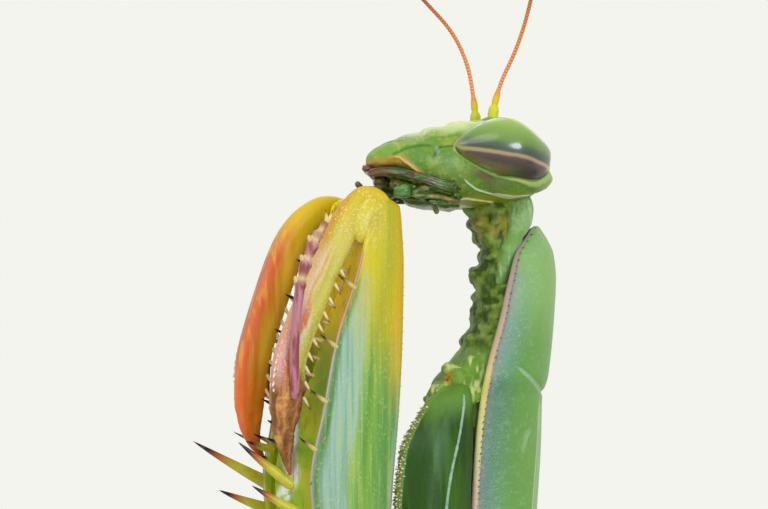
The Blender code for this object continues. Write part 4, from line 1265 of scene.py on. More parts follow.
def fore_coxa(word, finish, grains, ridge):
    place = foreleg_frame(word)
    side = SIDES[word]
    level = np.linspace(-9.7, 0.15, 150)
    forward, left, half, thick = coxa_place(word, level)
    c, s = circle(96)
    # the forward edge is sharper than the back of the limb
    keen = 1 - 0.3 * step(c, 0.3, 1.0)
    y = left + thick[:, None] * s * keen
    grid = grid_of(forward[:, None] + half[:, None] * c, y, JOINT_HEIGHT + level[:, None])
    mesh = grid_mesh(grid, place, {"front": c, "level": level[:, None]})
    settle(f"fore_coxa_{word}_shell", mesh, "cuticle_green", finish, f"fore_coxa_{word}")

    line = through(COXA_RIDGE, 120)
    forward, left, half, thick = coxa_place(word, line[:, 1])
    shift = forward - rows(FORE_COXA, line[:, 1])[0]
    off = (line[:, 0] + shift - forward) / half
    y = left + side * thick * np.sqrt(np.maximum(1 - off**2, 0.02)) * (1 - 0.3 * step(off, 0.3, 1.0))
    path = np.column_stack([line[:, 0] + shift, y, JOINT_HEIGHT + line[:, 1]])
    size = rounded(path, 0.06 + 0.02 * crumple(path, 0.12))
    mesh = grid_mesh(rings(path, size, size, 10, (0, 1, 0)), place)
    settle(f"fore_coxa_{word}_ridge", mesh, "cuticle_green", ridge)

    rng = np.random.default_rng(11)
    count = COXA_GRANULE_ROWS * len(COXA_GRANULE_LINES)
    level = np.repeat(np.linspace(-9.0, -0.9, COXA_GRANULE_ROWS), len(COXA_GRANULE_LINES))
    level = level + rng.normal(0, 0.04, count)
    forward, left, half, thick = coxa_place(word, level)
    spread = np.tile(COXA_GRANULE_LINES, COXA_GRANULE_ROWS) + rng.normal(0, 0.05, count)
    c, s = np.cos(spread), np.sin(spread)
    places = np.column_stack([forward + half * c * 0.985, left + thick * s * 0.7, JOINT_HEIGHT + level])
    ways = np.column_stack([c, s, rng.normal(0.1, 0.15, count)])
    lengths, widths = rng.uniform(0.05, 0.14, count), rng.uniform(0.035, 0.06, count)
    mesh = grown("spine", places, ways, lengths, widths, grains, place, 6, 4, 0.5)
    settle(f"fore_coxa_{word}_granules", mesh, "cuticle_green", grains)


def fore_trochanter(word, finish):
    path = through([(f, 0.05 * SIDES[word], z, half, thick) for f, z, half, thick in TROCHANTER], 80)
    line = path[:, :3]
    half, thick = rounded(line, path[:, 3]), rounded(line, path[:, 4])
    marks = {"front": circle(40)[0], "level": (line[:, 2] - JOINT_HEIGHT)[:, None]}
    mesh = grid_mesh(rings(line, half, thick, 40, (0, 1, 0)), foreleg_frame(word), marks)
    settle(f"fore_trochanter_{word}_shell", mesh, "cuticle_green", finish, f"fore_trochanter_{word}")


def femur_edges(word, height):
    """How far forward the back and belly edges lie, and the thickness; the far leg is narrower low down."""
    back, belly, thick = rows(FORE_FEMUR, height)
    if LEG_REACH[word]:
        belly = belly - 0.35 * step(28.5 - height, 0, 3)
    return back, belly, thick


def fore_femur(word, finish, spine, big_spine, grain):
    place, side = foreleg_frame(word), SIDES[word]
    half = through(FEMUR_SECTION, 61)
    whole = np.vstack([half, (half * (1, -1))[-2:0:-1]])
    share, q = whole.T
    height = np.concatenate([np.linspace(19.7, 34.9, 210), 35.2 - 0.3 * np.cos(np.linspace(0.1, 1.5, 14))])
    close = rounded(np.column_stack([0 * height, 0 * height, height]), 1.0, 0.8, 0.45)[:, None]
    back, belly, thick = (v[:, None] for v in femur_edges(word, height))
    height = height[:, None]
    low = step(29.0 - height, 0, 3.5) * step(height - 20, 0, 1.5)
    bulge = 0.75 * low * step(share, 0.6, 1.0) * step(-q, -0.5, 0.9)
    f = back + (belly - back) * share + bulge
    y = side * thick / 2 * q
    middle = back + (belly - back) * 0.5
    f, y = middle + (f - middle) * close, y * close
    ridge = hump(share, 1.0, 0.035) * hump(q, 0.94, 0.12) * (1 - step(height, 32.8, 33.6))
    face = ((q < 0.9) & (share > 0.9)) | (q < -0.2)
    points = grid_of(f, 0.0, height).reshape(-1, 3)
    groove = 1 - step(near_path(points, CLAW_GROOVE)[0].reshape(f.shape), 0.14, 0.3)
    marks = {
        "share": share, "height": height, "ridge": ridge, "face": face * 1.0,
        "groove": groove * (np.abs(q) < 0.9) * (share > 0.9),
    }
    body = grid_mesh(grid_of(f, y, height), place, marks)
    level = np.linspace(21.0, 33.1, 140)
    _, belly, thick = femur_edges(word, level)
    path = np.column_stack([belly - 0.015, side * thick * 0.475, level])
    size = rounded(path, 0.055, 1, 1)
    edge = grid_mesh(rings(path, size, size, 10), place, {"height": level[:, None], "ridge": 1.0})
    lobe = ball((3.95, side * 0.3, 34.3), (0.66, 0.32, 0.95), place, turn=(0, -20, 0))
    write_marks(lobe, {"lobe": 1.0, "height": 34.0, "share": 0.8})
    mesh = joined([body, edge, lobe])
    settle(f"fore_femur_{word}_shell", mesh, "foreleg", finish, f"fore_femur_{word}")

    far = bool(LEG_REACH[word])
    spines = []
    for up in OUTER_FEMUR_SPINES:
        _, belly, thick = rows(FORE_FEMUR, up)[:, 0]
        spines.append(((belly - 0.18, side * thick * 0.4, up), (0.8, side * 0.45, 0.4), 1.4, 0.115))
    for i, up in enumerate(np.linspace(24.9, 33.0, 13)):
        _, belly, thick = rows(FORE_FEMUR, up)[:, 0]
        root, way = (belly - 0.12, -side * thick * 0.4, up), (0.85, -side * 0.12, 0.3)
        length = (0.95 if i % 2 else 0.6) * (1.4 if far else 1.0)
        spines.append((root, way, length, 0.16 if far else 0.1))
    mesh = grown("spine", *zip(*spines), spine, place, 12, 10, 0.75, 0.35)
    settle(f"fore_femur_{word}_spines", mesh, "foreleg", spine)

    spines = []
    for up, near_length, far_length, width, rise, out in DISCOIDAL_SPINES:
        _, belly, _ = rows(FORE_FEMUR, up)[:, 0]
        rise = math.radians(rise - FAR_SPINE_DROP * far)
        root, way = (belly + 0.1, side * out, up), (math.cos(rise), -0.08 * side, math.sin(rise))
        spines.append((root, way, far_length if far else near_length, width))
    mesh = grown("spine", *zip(*spines), big_spine, place, 20, 18, 0.72, 0.3)
    settle(f"fore_femur_{word}_discoidal_spines", mesh, "foreleg", big_spine)

    rng = np.random.default_rng(5)
    up = np.linspace(21.5, 35.0, 58) + rng.normal(0, 0.04, 58)
    back, _, _ = rows(FORE_FEMUR, up)
    places = np.column_stack([back + 0.03, np.zeros(58), up])
    mesh = grown("spine", places, (-1, 0.1, 0.5), rng.uniform(0.05, 0.1, 58), 0.035, grain, place, 5, 3)
    settle(f"fore_femur_{word}_denticles", mesh, "foreleg", grain)


def fore_tibia(word, finish, spine, tooth):
    place, side = foreleg_frame(word), SIDES[word]
    path = through([(f, 0.0, z, half, thick) for f, z, half, thick in TIBIA_PATH[word]], 220)
    line = path[:, :3]
    half, thick = rounded(line, path[:, 3], 0.7, 0), rounded(line, path[:, 4], 0.7, 0)
    share = np.linspace(0, 1, 220)
    grid = rings(line, half, thick * side, 72, (0, 1, 0), 0.86)
    c, _ = circle(72)
    groove = hump(c, -1.0, 0.25) * step(share, 0.25, 0.35)[:, None] * 0.08
    middle = line[:, None]
    grid = middle + (grid - middle) * (1 - groove)[..., None]
    flat = grid.reshape(-1, 3)
    rough = crumple(flat * (1, 1, 0.5), 0.3) * 0.11 + crumple(flat, 0.14, 5) * 0.05
    claw = step(share, 0.66, 0.76) * (1 - step(share, 0.9, 1.0)) * (0.3 if LEG_REACH[word] else 1.0)
    rough = rough.reshape(grid.shape[:2]) * claw[:, None]
    grid = grid + unit(grid - middle) * rough[..., None]
    mesh = grid_mesh(grid, place, {"dorsal": c, "along": share[:, None], "rough": rough * 10})
    settle(f"fore_tibia_{word}_shell", mesh, "fore_tibia", finish, f"fore_tibia_{word}")

    spines = []
    for outer in (1, -1):
        for at in np.linspace(0.36, 0.76, 10):
            f, _, z, deep, wide = path[int(at * 219)]
            root = (f - deep * 0.72, outer * wide * 0.62, z - 0.1)
            spines.append((root, (-0.4, outer * 0.35, -0.8), 0.42 + 0.22 * at, 0.085))
    mesh = grown("spine", *zip(*spines), spine, place, 10, 8, 0.75, 0.3)
    settle(f"fore_tibia_{word}_spines", mesh, "fore_tibia", spine)

    rng = np.random.default_rng(8)
    at = np.linspace(0.3, 0.74, 22)
    row = path[(at * 219).astype(int)]
    places = np.column_stack([row[:, 0] + row[:, 3] * 0.9, side * row[:, 4] * 0.3, row[:, 2]])
    lengths = rng.uniform(0.14, 0.3, 22) * (0.7 if LEG_REACH[word] else 1.0)
    mesh = grown("spine", places, (0.55, side * 0.3, -0.8), lengths, 0.085, tooth, place, 8, 5, 0.7)
    settle(f"fore_tibia_{word}_saw", mesh, "fore_tibia", tooth)


def fore_tarsus(word, finish, claw):
    place, side = foreleg_frame(word), SIDES[word]
    points = []
    for f, out, z, half in FORE_TARSUS:
        if LEG_REACH[word]:  # lies closer behind its tibia
            f -= 0.8 + 0.18 * (z - FORE_TARSUS[0][2])
        points.append((f, side * out, z, half))
    path = through(points, 160)
    line = path[:, :3]
    t = np.linspace(0, 1, 160)
    size = rounded(line, path[:, 3])
    joint = sum(hump(t, k, 0.022) for k in FORE_TARSUS_JOINTS)
    swell = sum(hump(t, k - 0.03, 0.02) for k in FORE_TARSUS_JOINTS)
    size = size * (1 - 0.35 * joint + 0.25 * swell)
    marks = {"along": t[:, None], "joint": joint[:, None]}
    body = grid_mesh(rings(line, size, size * 1.1, 24, (0, 1, 0)), place, marks)
    pads = [
        ball(line[int(at * 159)] + (off, side * 0.02, 0.1), (0.1, 0.09, 0.17), place, (0, 20, 0))
        for at in (0.64, 0.76, 0.87)
        for off in (0.06, 0.2)
    ]
    for pad in pads:
        write_marks(pad, {"joint": 1.0, "along": 0.7})
    mesh = joined([body, *pads])
    settle(f"fore_tarsus_{word}_joints", mesh, "tarsus", finish, f"fore_tarsus_{word}")
    tip = line[-1]
    ways = [(-0.5, side * 0.25, 0.85), (0.15, side * 0.35, 0.95)]
    mesh = grown("spine", [tip - (0, 0, 0.05)] * 2, ways, 0.55, 0.1, claw, place, 10, 10, 0.7, -0.6)
    settle(f"fore_tarsus_{word}_claws", mesh, "tarsus", claw)


def coxa_finish():
    coxa = cuticle("coxa_cuticle", Roughness=0.45, Coat_Weight=0.0, Specular_IOR_Level=0.2)
    front, level = coxa.mark("front"), coxa.mark("level")
    blotch, streak = coxa.noise(1.0, 4.0, (1, 1, 0.4)), coxa.noise(0.5, 4.0, (1, 1, 0.12))
    fine = coxa.noise(0.12, 3.0)
    sheen = front.hump(0.3, 0.75) * blotch.step(0.42, 0.62)
    strip = front.step(0.915, 0.955)
    return coxa.done(
        coxa.blend(streak.step(0.4, 0.65), (30, 64, 0), (52, 90, 16)),
        (sheen * 0.45, 60, 92, 66),
        (front.hump(0.92, 0.025) * 0.7, 104, 150, 92),
        (strip * 0.85, 118, 124, 50),
        # painted shade: the back face of the coxa is darkened for the shadow beside the shield's margin
        (front.fall(-0.9, -0.3) * 0.7, 30, 58, 6),
        (level.step(-1.6, -0.4) * 0.7, 94, 134, 50),
        roughness=0.5 - 0.15 * blotch, height=streak + blotch + fine * 0.4, depth=0.03,
    )


def femur_finish():
    femur = cuticle("femur_cuticle", Roughness=0.42, Coat_Weight=0.08, Coat_Roughness=0.3)
    share, height = femur.mark("share"), femur.mark("height")
    streak, thin = femur.noise(0.6, 4.0, (1, 1, 0.05)), femur.noise(0.2, 3.0, (1, 1, 0.05))
    blotch, fine = femur.noise(1.3, 3.0), femur.noise(0.12, 4.0)
    at = share + (streak - 0.5) * 0.16
    # the pale blue-green stops from 0.62 to 0.88 across are a painted sheen along the belly edge
    low = femur.ramp(
        at,
        (0.0, 130, 130, 122), (0.04, 140, 170, 138), (0.1, 92, 140, 78),
        (0.24, 86, 136, 60), (0.38, 112, 152, 58), (0.46, 88, 138, 52), (0.56, 118, 156, 76),
        (0.62, 134, 166, 148), (0.88, 132, 162, 148), (0.94, 58, 108, 40),
    )
    high = femur.ramp(
        at,
        (0.0, 180, 150, 110), (0.04, 190, 170, 40), (0.12, 200, 150, 14),
        (0.22, 176, 160, 4), (0.4, 158, 152, 12), (0.6, 180, 168, 14), (0.8, 190, 172, 8),
    )
    change = (height + blotch * 1.6 - share * 4.4).step(26.6, 30.4)
    face = femur.mark("face")
    pale = femur.mark("groove") * femur.noise(0.4, 4.0).step(0.36, 0.5)
    belly = femur.painted(
        femur.blend(blotch.step(0.4, 0.6), (120, 150, 14), (158, 160, 30)),
        (height.step(28.6, 31.0), 226, 192, 0),
        (pale, 190, 196, 178),
        (femur.mark("groove") * thin.step(0.52, 0.6), 150, 130, 130),
        (thin.step(0.56, 0.66) * 0.4, 110, 100, 20),
    )
    ridge = femur.ramp(
        (height - 20) / 15, (0.0, 128, 128, 110), (0.6, 150, 148, 138), (0.72, 174, 130, 96),
    )
    spots = femur.cells(0.11)
    dotted = femur.painted(
        femur.blend(fine.step(0.45, 0.62), (186, 168, 46), (198, 184, 92)),
        (spots.step(0.2, 0.12) * 0.5, 150, 130, 40),
    )
    knee = height.step(33.0, 33.9) * (share + blotch * 0.3).step(0.5, 0.95) * (1 - face)
    return femur.done(
        femur.blend(change, low, high),
        (thin.step(0.5, 0.66) * (0.4 - 0.2 * change), 168, 176, 96),
        (thin.step(0.5, 0.38) * (1 - change) * 0.3, 84, 120, 30),
        (fine.step(0.55, 0.7) * 0.25, 190, 196, 140),
        (face, belly),
        (femur.mark("ridge").step(0.3, 0.8), ridge),
        (knee * 0.8, dotted),
        (femur.mark("lobe"), dotted),
        roughness=0.4 + 0.14 * blotch, height=fine * 0.6 + thin + streak, depth=0.03,
    )


def near_tibia_finish():
    """Yellow at the knee, striped pale below, rough orange-brown at the claw, with painted highlights on its
    bumps and painted shade in its dents.
    """
    tibia = cuticle("near_tibia_cuticle")
    dorsal, along = tibia.mark("dorsal"), tibia.mark("along")
    streak, fine, rough = tibia.noise(0.3, 4.0, (1, 1, 0.1)), tibia.noise(0.09, 3.0), tibia.mark("rough")
    at = dorsal * 0.5 + 0.5 + (streak - 0.5) * 0.3
    ragged = along + (streak - 0.5) * 0.1
    blade = tibia.ramp(
        at, (0.0, 180, 150, 20), (0.12, 198, 186, 120), (0.26, 162, 154, 36), (0.44, 176, 168, 70),
        (0.54, 196, 184, 150), (0.6, 190, 108, 40), (0.7, 180, 100, 70), (0.82, 190, 140, 144),
        (1.0, 200, 140, 110),
    )
    upper = tibia.ramp(
        at, (0.0, 180, 150, 20), (0.2, 170, 162, 40), (0.4, 188, 178, 84), (0.55, 178, 162, 50),
        (0.64, 196, 182, 120), (0.72, 200, 150, 60), (0.8, 206, 186, 150), (1.0, 206, 164, 110),
    )
    blade = tibia.blend(ragged.step(0.42, 0.56), upper, blade)
    top = tibia.painted(
        tibia.blend(dorsal.step(0.7, 0.98) * 0.7, (182, 160, 20), (192, 124, 24)),
        (along.step(0.12, 0.3) * dorsal.fall(0.4, 0.8) * 0.5, 200, 190, 110),
        (fine.step(0.5, 0.66) * 0.4 * along.fall(0.2, 0.3), 206, 200, 110),
    )
    claw = tibia.painted(
        tibia.blend(streak.step(0.42, 0.58), (124, 72, 28), (172, 112, 54)),
        # painted highlights on the raised bumps of the claw's rough surface, and painted shade in its dents
        (rough.step(0.1, 0.7) * 0.6, 186, 150, 84),
        (rough.step(-0.1, -0.6) * 0.7, 84, 66, 26),
        (dorsal.fall(-0.7, -0.1) * 0.8, 84, 44, 10),
        (along.step(0.9, 1.0) * 0.7, 104, 56, 12),
    )
    return tibia.done(
        tibia.blend(ragged.step(0.26, 0.36), top, blade),
        (along.fall(0.02, 0.2), 196, 166, 14),
        (fine.step(0.56, 0.64) * 0.35, 220, 200, 160),
        (ragged.step(0.66, 0.76), claw),
        height=streak + fine, depth=0.05,
    )


def far_tibia_finish():
    """Yellow at the knee, orange below with a red edge, dark at the claw."""
    tibia = cuticle("far_tibia_cuticle")
    dorsal, along = tibia.mark("dorsal"), tibia.mark("along")
    streak, fine = tibia.noise(0.3, 3.0, (1, 1, 0.08)), tibia.noise(0.09, 3.0)
    at = dorsal * 0.5 + 0.5 + (streak - 0.5) * 0.2
    return tibia.done(
        tibia.ramp(
            at, (0.0, 214, 166, 40), (0.3, 212, 158, 34), (0.44, 218, 176, 56), (0.62, 206, 136, 20),
            (0.76, 196, 84, 20), (0.9, 200, 96, 40), (1.0, 176, 110, 90),
        ),
        (streak.step(0.52, 0.62) * 0.4, 204, 106, 44),
        (tibia.noise(0.2, 3.0, (1, 1, 0.02)).step(0.48, 0.68) * 0.45, 224, 176, 54),
        (along.fall(0.18, 0.36), 200, 166, 0),
        (along.step(0.62, 0.8) * 0.7, 210, 98, 24),
        (along.step(0.88, 1.0) * 0.85, 110, 44, 8),
        height=streak + fine * 0.3, depth=0.03,
    )


def tarsus_finish():
    foot = cuticle("fore_tarsus_cuticle")
    along, joint = foot.mark("along"), foot.mark("joint")
    streak = foot.noise(0.2, 3.0, (1, 1, 0.15))
    return foot.done(
        foot.blend(streak.step(0.42, 0.58), (124, 60, 64), (164, 104, 118)),
        (along.step(0.86, 0.96) * 0.6, 150, 90, 50),
        (joint * 0.85, 200, 170, 130),
        height=streak, depth=0.015,
    )


def plain_finish(name, one, two, size):
    """Two close colours in soft blotches, over a fine grain."""
    made = cuticle(name)
    blotch, fine = made.noise(size, 3.0), made.noise(size / 6, 2.0)
    colour = made.blend(blotch.step(0.38, 0.62), one, two)
    return made.done(colour, height=blotch + fine, depth=size * 0.02)


# ------------ body behind the shield
BACK_START, BACK_SLOPE, BODY_TILT = (3.0, 14.3), -0.2, -11.3
# distance back: half width and half height of the body under the wings
BODY = (
    (3.0, 2.6, 2.4), (7.0, 2.9, 2.6), (10.5, 2.6, 2.3), (15.0, 3.4, 2.6), (22.0, 4.0, 2.8),
    (29.0, 3.5, 2.4), (34.0, 2.2, 1.4), (36.6, 0.9, 0.55),
)
# distance back, height, half width, half height, tilt of the section in degrees
THORAX_FRONT = (
    (-0.5, 15.4, 1.2, 0.9, 92),
    (-0.05, 14.2, 1.7, 1.15, 88),
    (0.25, 13.3, 1.9, 1.45, 62),
    (1.3, 12.4, 2.2, 2.0, 32),
)
THORAX_BACKS = (3.2, 5.0, 7.0, 9.0, 10.5, 11.6)
# distance back of each seam, and how much it leans
THORAX_SEAMS = ((2.4, 0.3), (4.6, 0.25), (6.5, 0.1), (8.6, 0.25))
ABDOMEN, ABDOMEN_SEGMENTS = (10.3, 36.6), 10
# distance back, distance out, height, half thickness
CERCUS = (
    (35.2, 0.9, 7.2, 0.3), (36.2, 1.35, 7.0, 0.38), (37.6, 1.9, 6.9, 0.4), (39.2, 2.6, 6.95, 0.32),
    (40.8, 3.38, 7.22, 0.14),
)
# wing: side, then its outer and inner edges as angles out from straight up, layer in the stack
FOLDED_WINGS = {
    "hindwing_left": (1, 62, 4, 0),
    "hindwing_right": (-1, 62, 4, 0),
    "tegmen_right": (-1, 84, -34, 1),
    "tegmen_left": (1, 84, -34, 2),
}
WING_SPAN, WING_THICK, WING_STEP = (3.4, 39.0), 0.13, 0.5
# share across the wing at the root and at the tip, radius of the vein
VEINS = (
    (0.03, 0.02, 0.07), (0.1, 0.12, 0.06), (0.2, 0.3, 0.075), (0.24, 0.42, 0.05), (0.3, 0.56, 0.05),
    (0.4, 0.7, 0.05), (0.52, 0.82, 0.045), (0.68, 0.93, 0.045),
)


def back_line(back):
    """Height of the body's back at a distance back."""
    return BACK_START[1] + BACK_SLOPE * (back - BACK_START[0])


def section(back, up, half_width, half_height, tilt, sides, flat=1.0):
    """Rings of the body, each tilted from upright about the animal's own cross axis."""
    c, s = (signed_power(v, flat) for v in circle(sides))
    lean = np.radians(tilt)[:, None]
    high = half_height[:, None] * s
    forward = -back[:, None] - np.sin(lean) * high
    return grid_of(forward, half_width[:, None] * c, up[:, None] + np.cos(lean) * high), s


def middle_thorax(finish):
    table = list(THORAX_FRONT)
    for back in THORAX_BACKS:
        half_width, half_height = rows(BODY, back)[:, 0]
        table.append((back, back_line(back) - 0.1 - half_height, half_width, half_height - 0.1, BODY_TILT))
    grid, _ = section(*through(table, 120).T, 72)
    lumps = [grid_mesh(grid, STANCE)]
    for (back, out, up), *_ in WALKING_LEGS.values():
        for side in SIDES.values():
            hip, above = (-back, side * (out - 0.1), up + 0.35), (-back - 0.6, side * (out + 0.35), up + 1.9)
            lumps.append(ball(hip, (1.15, 0.9, 1.1), STANCE))
            lumps.append(ball(above, (1.2, 0.5, 1.5), STANCE, (0, 20, 0)))
    mesh = fused(lumps, 0.13, 3)
    local, normals = points_of(mesh, STANCE)
    back, high = -local[:, 0], local[:, 2]
    seams = np.zeros(len(local))
    for at, lean in THORAX_SEAMS:
        seams = np.maximum(seams, hump(back + lean * (high - 11), at, 0.16))
    middle = hump(local[:, 1], 0.0, 0.14) * step(12.0 - high, 0, 1)
    swell = crumple(local, 0.8) * 0.05 - 0.14 * seams - 0.08 * middle
    move_to(mesh, local + normals * swell[:, None], STANCE)
    marks = {"seam": np.maximum(seams, middle), "segment": 0.5, "belly": step(10.5 - high, -1, 1)}
    write_marks(mesh, marks)
    settle("middle_thorax", mesh, "cuticle_green", finish, "pterothorax")


def abdomen(finish):
    """Each ring of the abdomen overlaps the next one behind it."""
    back = np.linspace(*ABDOMEN, 400)
    place = (back - ABDOMEN[0]) / (ABDOMEN[1] - ABDOMEN[0]) * ABDOMEN_SEGMENTS
    share = place - np.floor(np.minimum(place, ABDOMEN_SEGMENTS - 0.001))
    swell = 0.2 * share**1.4 * (1 - step(share, 0.94, 1.0))
    half_width, half_height = rows(BODY, back)
    close = rounded(np.column_stack([back, 0 * back, 0 * back]), 1.0, 0, 0.9)
    up = back_line(back) - 0.2 - half_height
    half_width, half_height = (half_width + swell - 0.1) * close, (half_height + swell * 0.7 - 0.08) * close
    grid, s = section(back, up, half_width, half_height, np.full(400, BODY_TILT), 96, 0.9)
    fold = hump(s, -0.25, 0.09)
    middle = grid.mean(axis=1, keepdims=True)
    grid = middle + (grid - middle) * (1 + 0.03 * fold - 0.05 * hump(s, -0.42, 0.1))[None, :, None]
    marks = {"segment": share[:, None], "belly": step(-s, 0.2, 0.5), "seam": fold * 0.6}
    vent_plate = ball((-36.6, 0, 7.25), (1.5, 0.75, 0.3), STANCE, (0, 10, 0))
    valves = [ball((-37.0, side * 0.22, 6.85), (1.5, 0.3, 0.32), STANCE, (0, 6, 0)) for side in (1, -1)]
    mesh = joined([grid_mesh(grid, STANCE, marks), vent_plate, *valves])
    settle("abdomen_rings", mesh, "cuticle_green", finish, "abdomen")


def cercus(word, finish, hair):
    side = SIDES[word]
    path = through([(-back, side * out, up, half) for back, out, up, half in CERCUS], 200)
    t = np.linspace(0, 1, 200)
    ring = np.abs(np.sin(t * math.pi * 13)) ** 0.6
    size = rounded(path[:, :3], path[:, 3]) * (0.78 + 0.22 * ring)
    marks = {"joint": (1 - ring)[:, None], "along": t[:, None]}
    mesh = grid_mesh(rings(path[:, :3], size, size * 0.8, 24), STANCE, marks)
    settle(f"cercus_{word}_rings", mesh, "walking_leg", finish, f"cercus_{word}")
    hairs(f"cercus_{word}_hairs", path, 70, 0.35, hair, 0.1)


def hairs(name, path, count, length, finish, start=0.0):
    """Fine hairs all round a limb, leaning towards its end."""
    rng = np.random.default_rng(count)
    at = (rng.uniform(start, 0.98, count) * (len(path) - 1)).astype(int)
    along = unit(np.gradient(path[:, :3], axis=0))[at]
    out = unit(np.cross(along, rng.normal(size=(count, 3))))
    places = path[at, :3] + out * path[at, 3:4] * 0.8
    lengths = length * rng.uniform(0.6, 1.1, count)
    mesh = grown("spine", places, out + along * 1.1, lengths, 0.022, finish, STANCE, 4, 2)
    settle(name, mesh, "walking_leg", finish)


def wing_surface(name, lift, share, across):
    """Points on a folded wing, this far off the body, at shares of its length and its width."""
    side, outer, inner, _ = FOLDED_WINGS[name]
    back = WING_SPAN[0] + (WING_SPAN[1] - WING_SPAN[0]) * share
    widths = rows(BODY, np.minimum(back, 30.0).ravel())
    half_width, half_height = (v.reshape(back.shape) for v in widths)
    half_width = half_width * (1 - 0.25 * np.maximum(0, share - 0.7) / 0.3)
    rounding = np.sqrt(np.maximum(0, 1 - (np.maximum(share - 0.72, 0) / 0.285) ** 2))
    spread = np.clip(np.minimum(1.0, 0.4 + share * 5.5) * rounding, 0.12, 1.0)
    angle = np.radians((outer + (inner - outer) * across) * spread + 12 * (1 - spread))
    left = side * (half_width + lift) * np.sin(angle)
    up = back_line(back) - half_height + (half_height + lift) * np.cos(angle)
    return grid_of(-back, left, up)


def wing(name, finish):
    layer = FOLDED_WINGS[name][3]
    share, across = np.linspace(0, 1, 240)[:, None], np.linspace(0, 1, 64)[None, :]
    lift = 0.55 + layer * WING_STEP
    wave = 0.03 * np.sin(across * 60) * step(share, 0.05, 0.2)
    sheets = [wing_surface(name, lift + wave + off * WING_THICK / 2, share, across) for off in (1, -1)]
    marks = {"across": there_and_back(across, across), "along": share, "vein": 0.0}
    meshes = [grid_mesh(there_and_back(*sheets), STANCE, marks)]
    for root, tip, radius in VEINS:
        t = np.linspace(0.03, 0.97, 200)
        k = root + (tip - root) * step(t, 0.0, 0.9)
        line = wing_surface(name, lift + 0.05, t, k)
        size = rounded(line, radius * (1.1 - 0.6 * t))
        marks = {"across": k[:, None], "along": t[:, None], "vein": 1.0}
        meshes.append(grid_mesh(rings(line, size, size, 8), STANCE, marks))
    settle(f"{name}_sheet", joined(meshes), "wing", finish, name)


def wing_finish(name, body, edge, net):
    sheet = cuticle(name, Roughness=0.5, Subsurface_Weight=0.2)
    across, along = sheet.mark("across"), sheet.mark("along")
    spot = sheet.node("ShaderNodeCombineXYZ", {}, {0: along * 35.0, 1: across * 9.0, 2: 0.0})
    net_lines = 1 - sheet.cells(620, "DISTANCE_TO_EDGE", spot).step(0.02, 0.09)
    blotch, fine = sheet.noise(2.2, 3.0), sheet.noise(0.3, 3.0)
    vein = sheet.mark("vein")
    veins = vein.math("MAXIMUM", vein, net_lines * 0.6)
    return sheet.done(
        sheet.blend(blotch.step(0.35, 0.65), body, sheet.blend(0.35, body, (150, 176, 80))),
        (across.fall(0.02, 0.12), edge),
        (along.step(0.8, 1.0) * 0.4, 150, 150, 90),
        (veins * 0.75, net),
        roughness=0.46 + 0.14 * blotch, height=net_lines * 1.5 + fine, depth=0.02,
    )


def body_finish():
    body = cuticle("body_cuticle", Roughness=0.42)
    segment, belly = body.mark("segment"), body.mark("belly")
    blotch, fine = body.noise(1.4, 4.0), body.noise(0.2, 3.0)
    return body.done(
        body.blend(blotch.step(0.35, 0.65), (98, 136, 56), (120, 154, 72)),
        (belly * 0.6, 150, 168, 92),
        (segment.step(0.86, 0.93) * 0.5, 176, 184, 120),
        (segment.fall(0.0, 0.12) * 0.5, 70, 100, 36),
        (body.mark("seam") * 0.6, 70, 98, 40),
        roughness=0.38 + 0.15 * blotch, height=fine + blotch, depth=0.02,
    )


# ------------ walking legs
THICK_FEMUR = {"mid": 0.625, "hind": 0.75}
# share of the way from the hip: half thickness of the coxa
COXA_SIZES = ((0, 0.85), (0.35, 1.05), (0.75, 0.85), (1, 0.5))
# from trochanter to knee and from knee to ankle, shares of the usual half thickness
FEMUR_SIZES = (0.62, 0.72, 0.95, 1.02, 0.95, 0.8, 0.68, 0.6, 0.56, 0.6, 0.72)
TIBIA_SIZES = (1.25, 1.2, 1.0, 0.95, 0.95, 1.0, 1.15, 1.3)
TARSOMERES = (0.42, 0.17, 0.12, 0.09, 0.20)
# hip, trochanter, knee, ankle and toe, each distance back, distance out and height
WALKING_LEGS = {
    "mid": ((2.3, 1.62, 10.45), (1.2, 4.4, 7.6), (-6.2, 14.4, 11.6), (-9.2, 17.6, 1.15), (-12.6, 21.4, 0.0)),
    "hind": ((7.6, 1.98, 8.95), (8.8, 4.6, 6.5), (17.6, 14.8, 13.6), (26.2, 21.8, 1.15), (31.2, 25.6, 0.0)),
}


def tapered(start, end, sizes, bow=0.0):
    """A limb's middle line and half thickness, from start to end."""
    t = np.linspace(0, 1, len(sizes))[:, None]
    line = start + (end - start) * t + np.array((0, 0, bow)) * np.sin(math.pi * t)
    return through(np.column_stack([line, sizes]), 160)


def limb(path, sides, ribs=0.0):
    """A limb round its middle line, with four faint ribs."""
    t = np.linspace(0, 1, len(path))[:, None]
    line = path[:, :3]
    size = rounded(line, path[:, 3])
    grid = rings(line, size, size, sides)
    turn = np.arange(sides) / sides * math.tau
    middle = line[:, None]
    grid = middle + (grid - middle) * (1 + ribs * np.cos(turn * 4))[None, :, None]
    return grid_mesh(grid, STANCE, {"along": t, "joint": hump(t, 1.0, 0.07) + hump(t, 0.0, 0.05)})


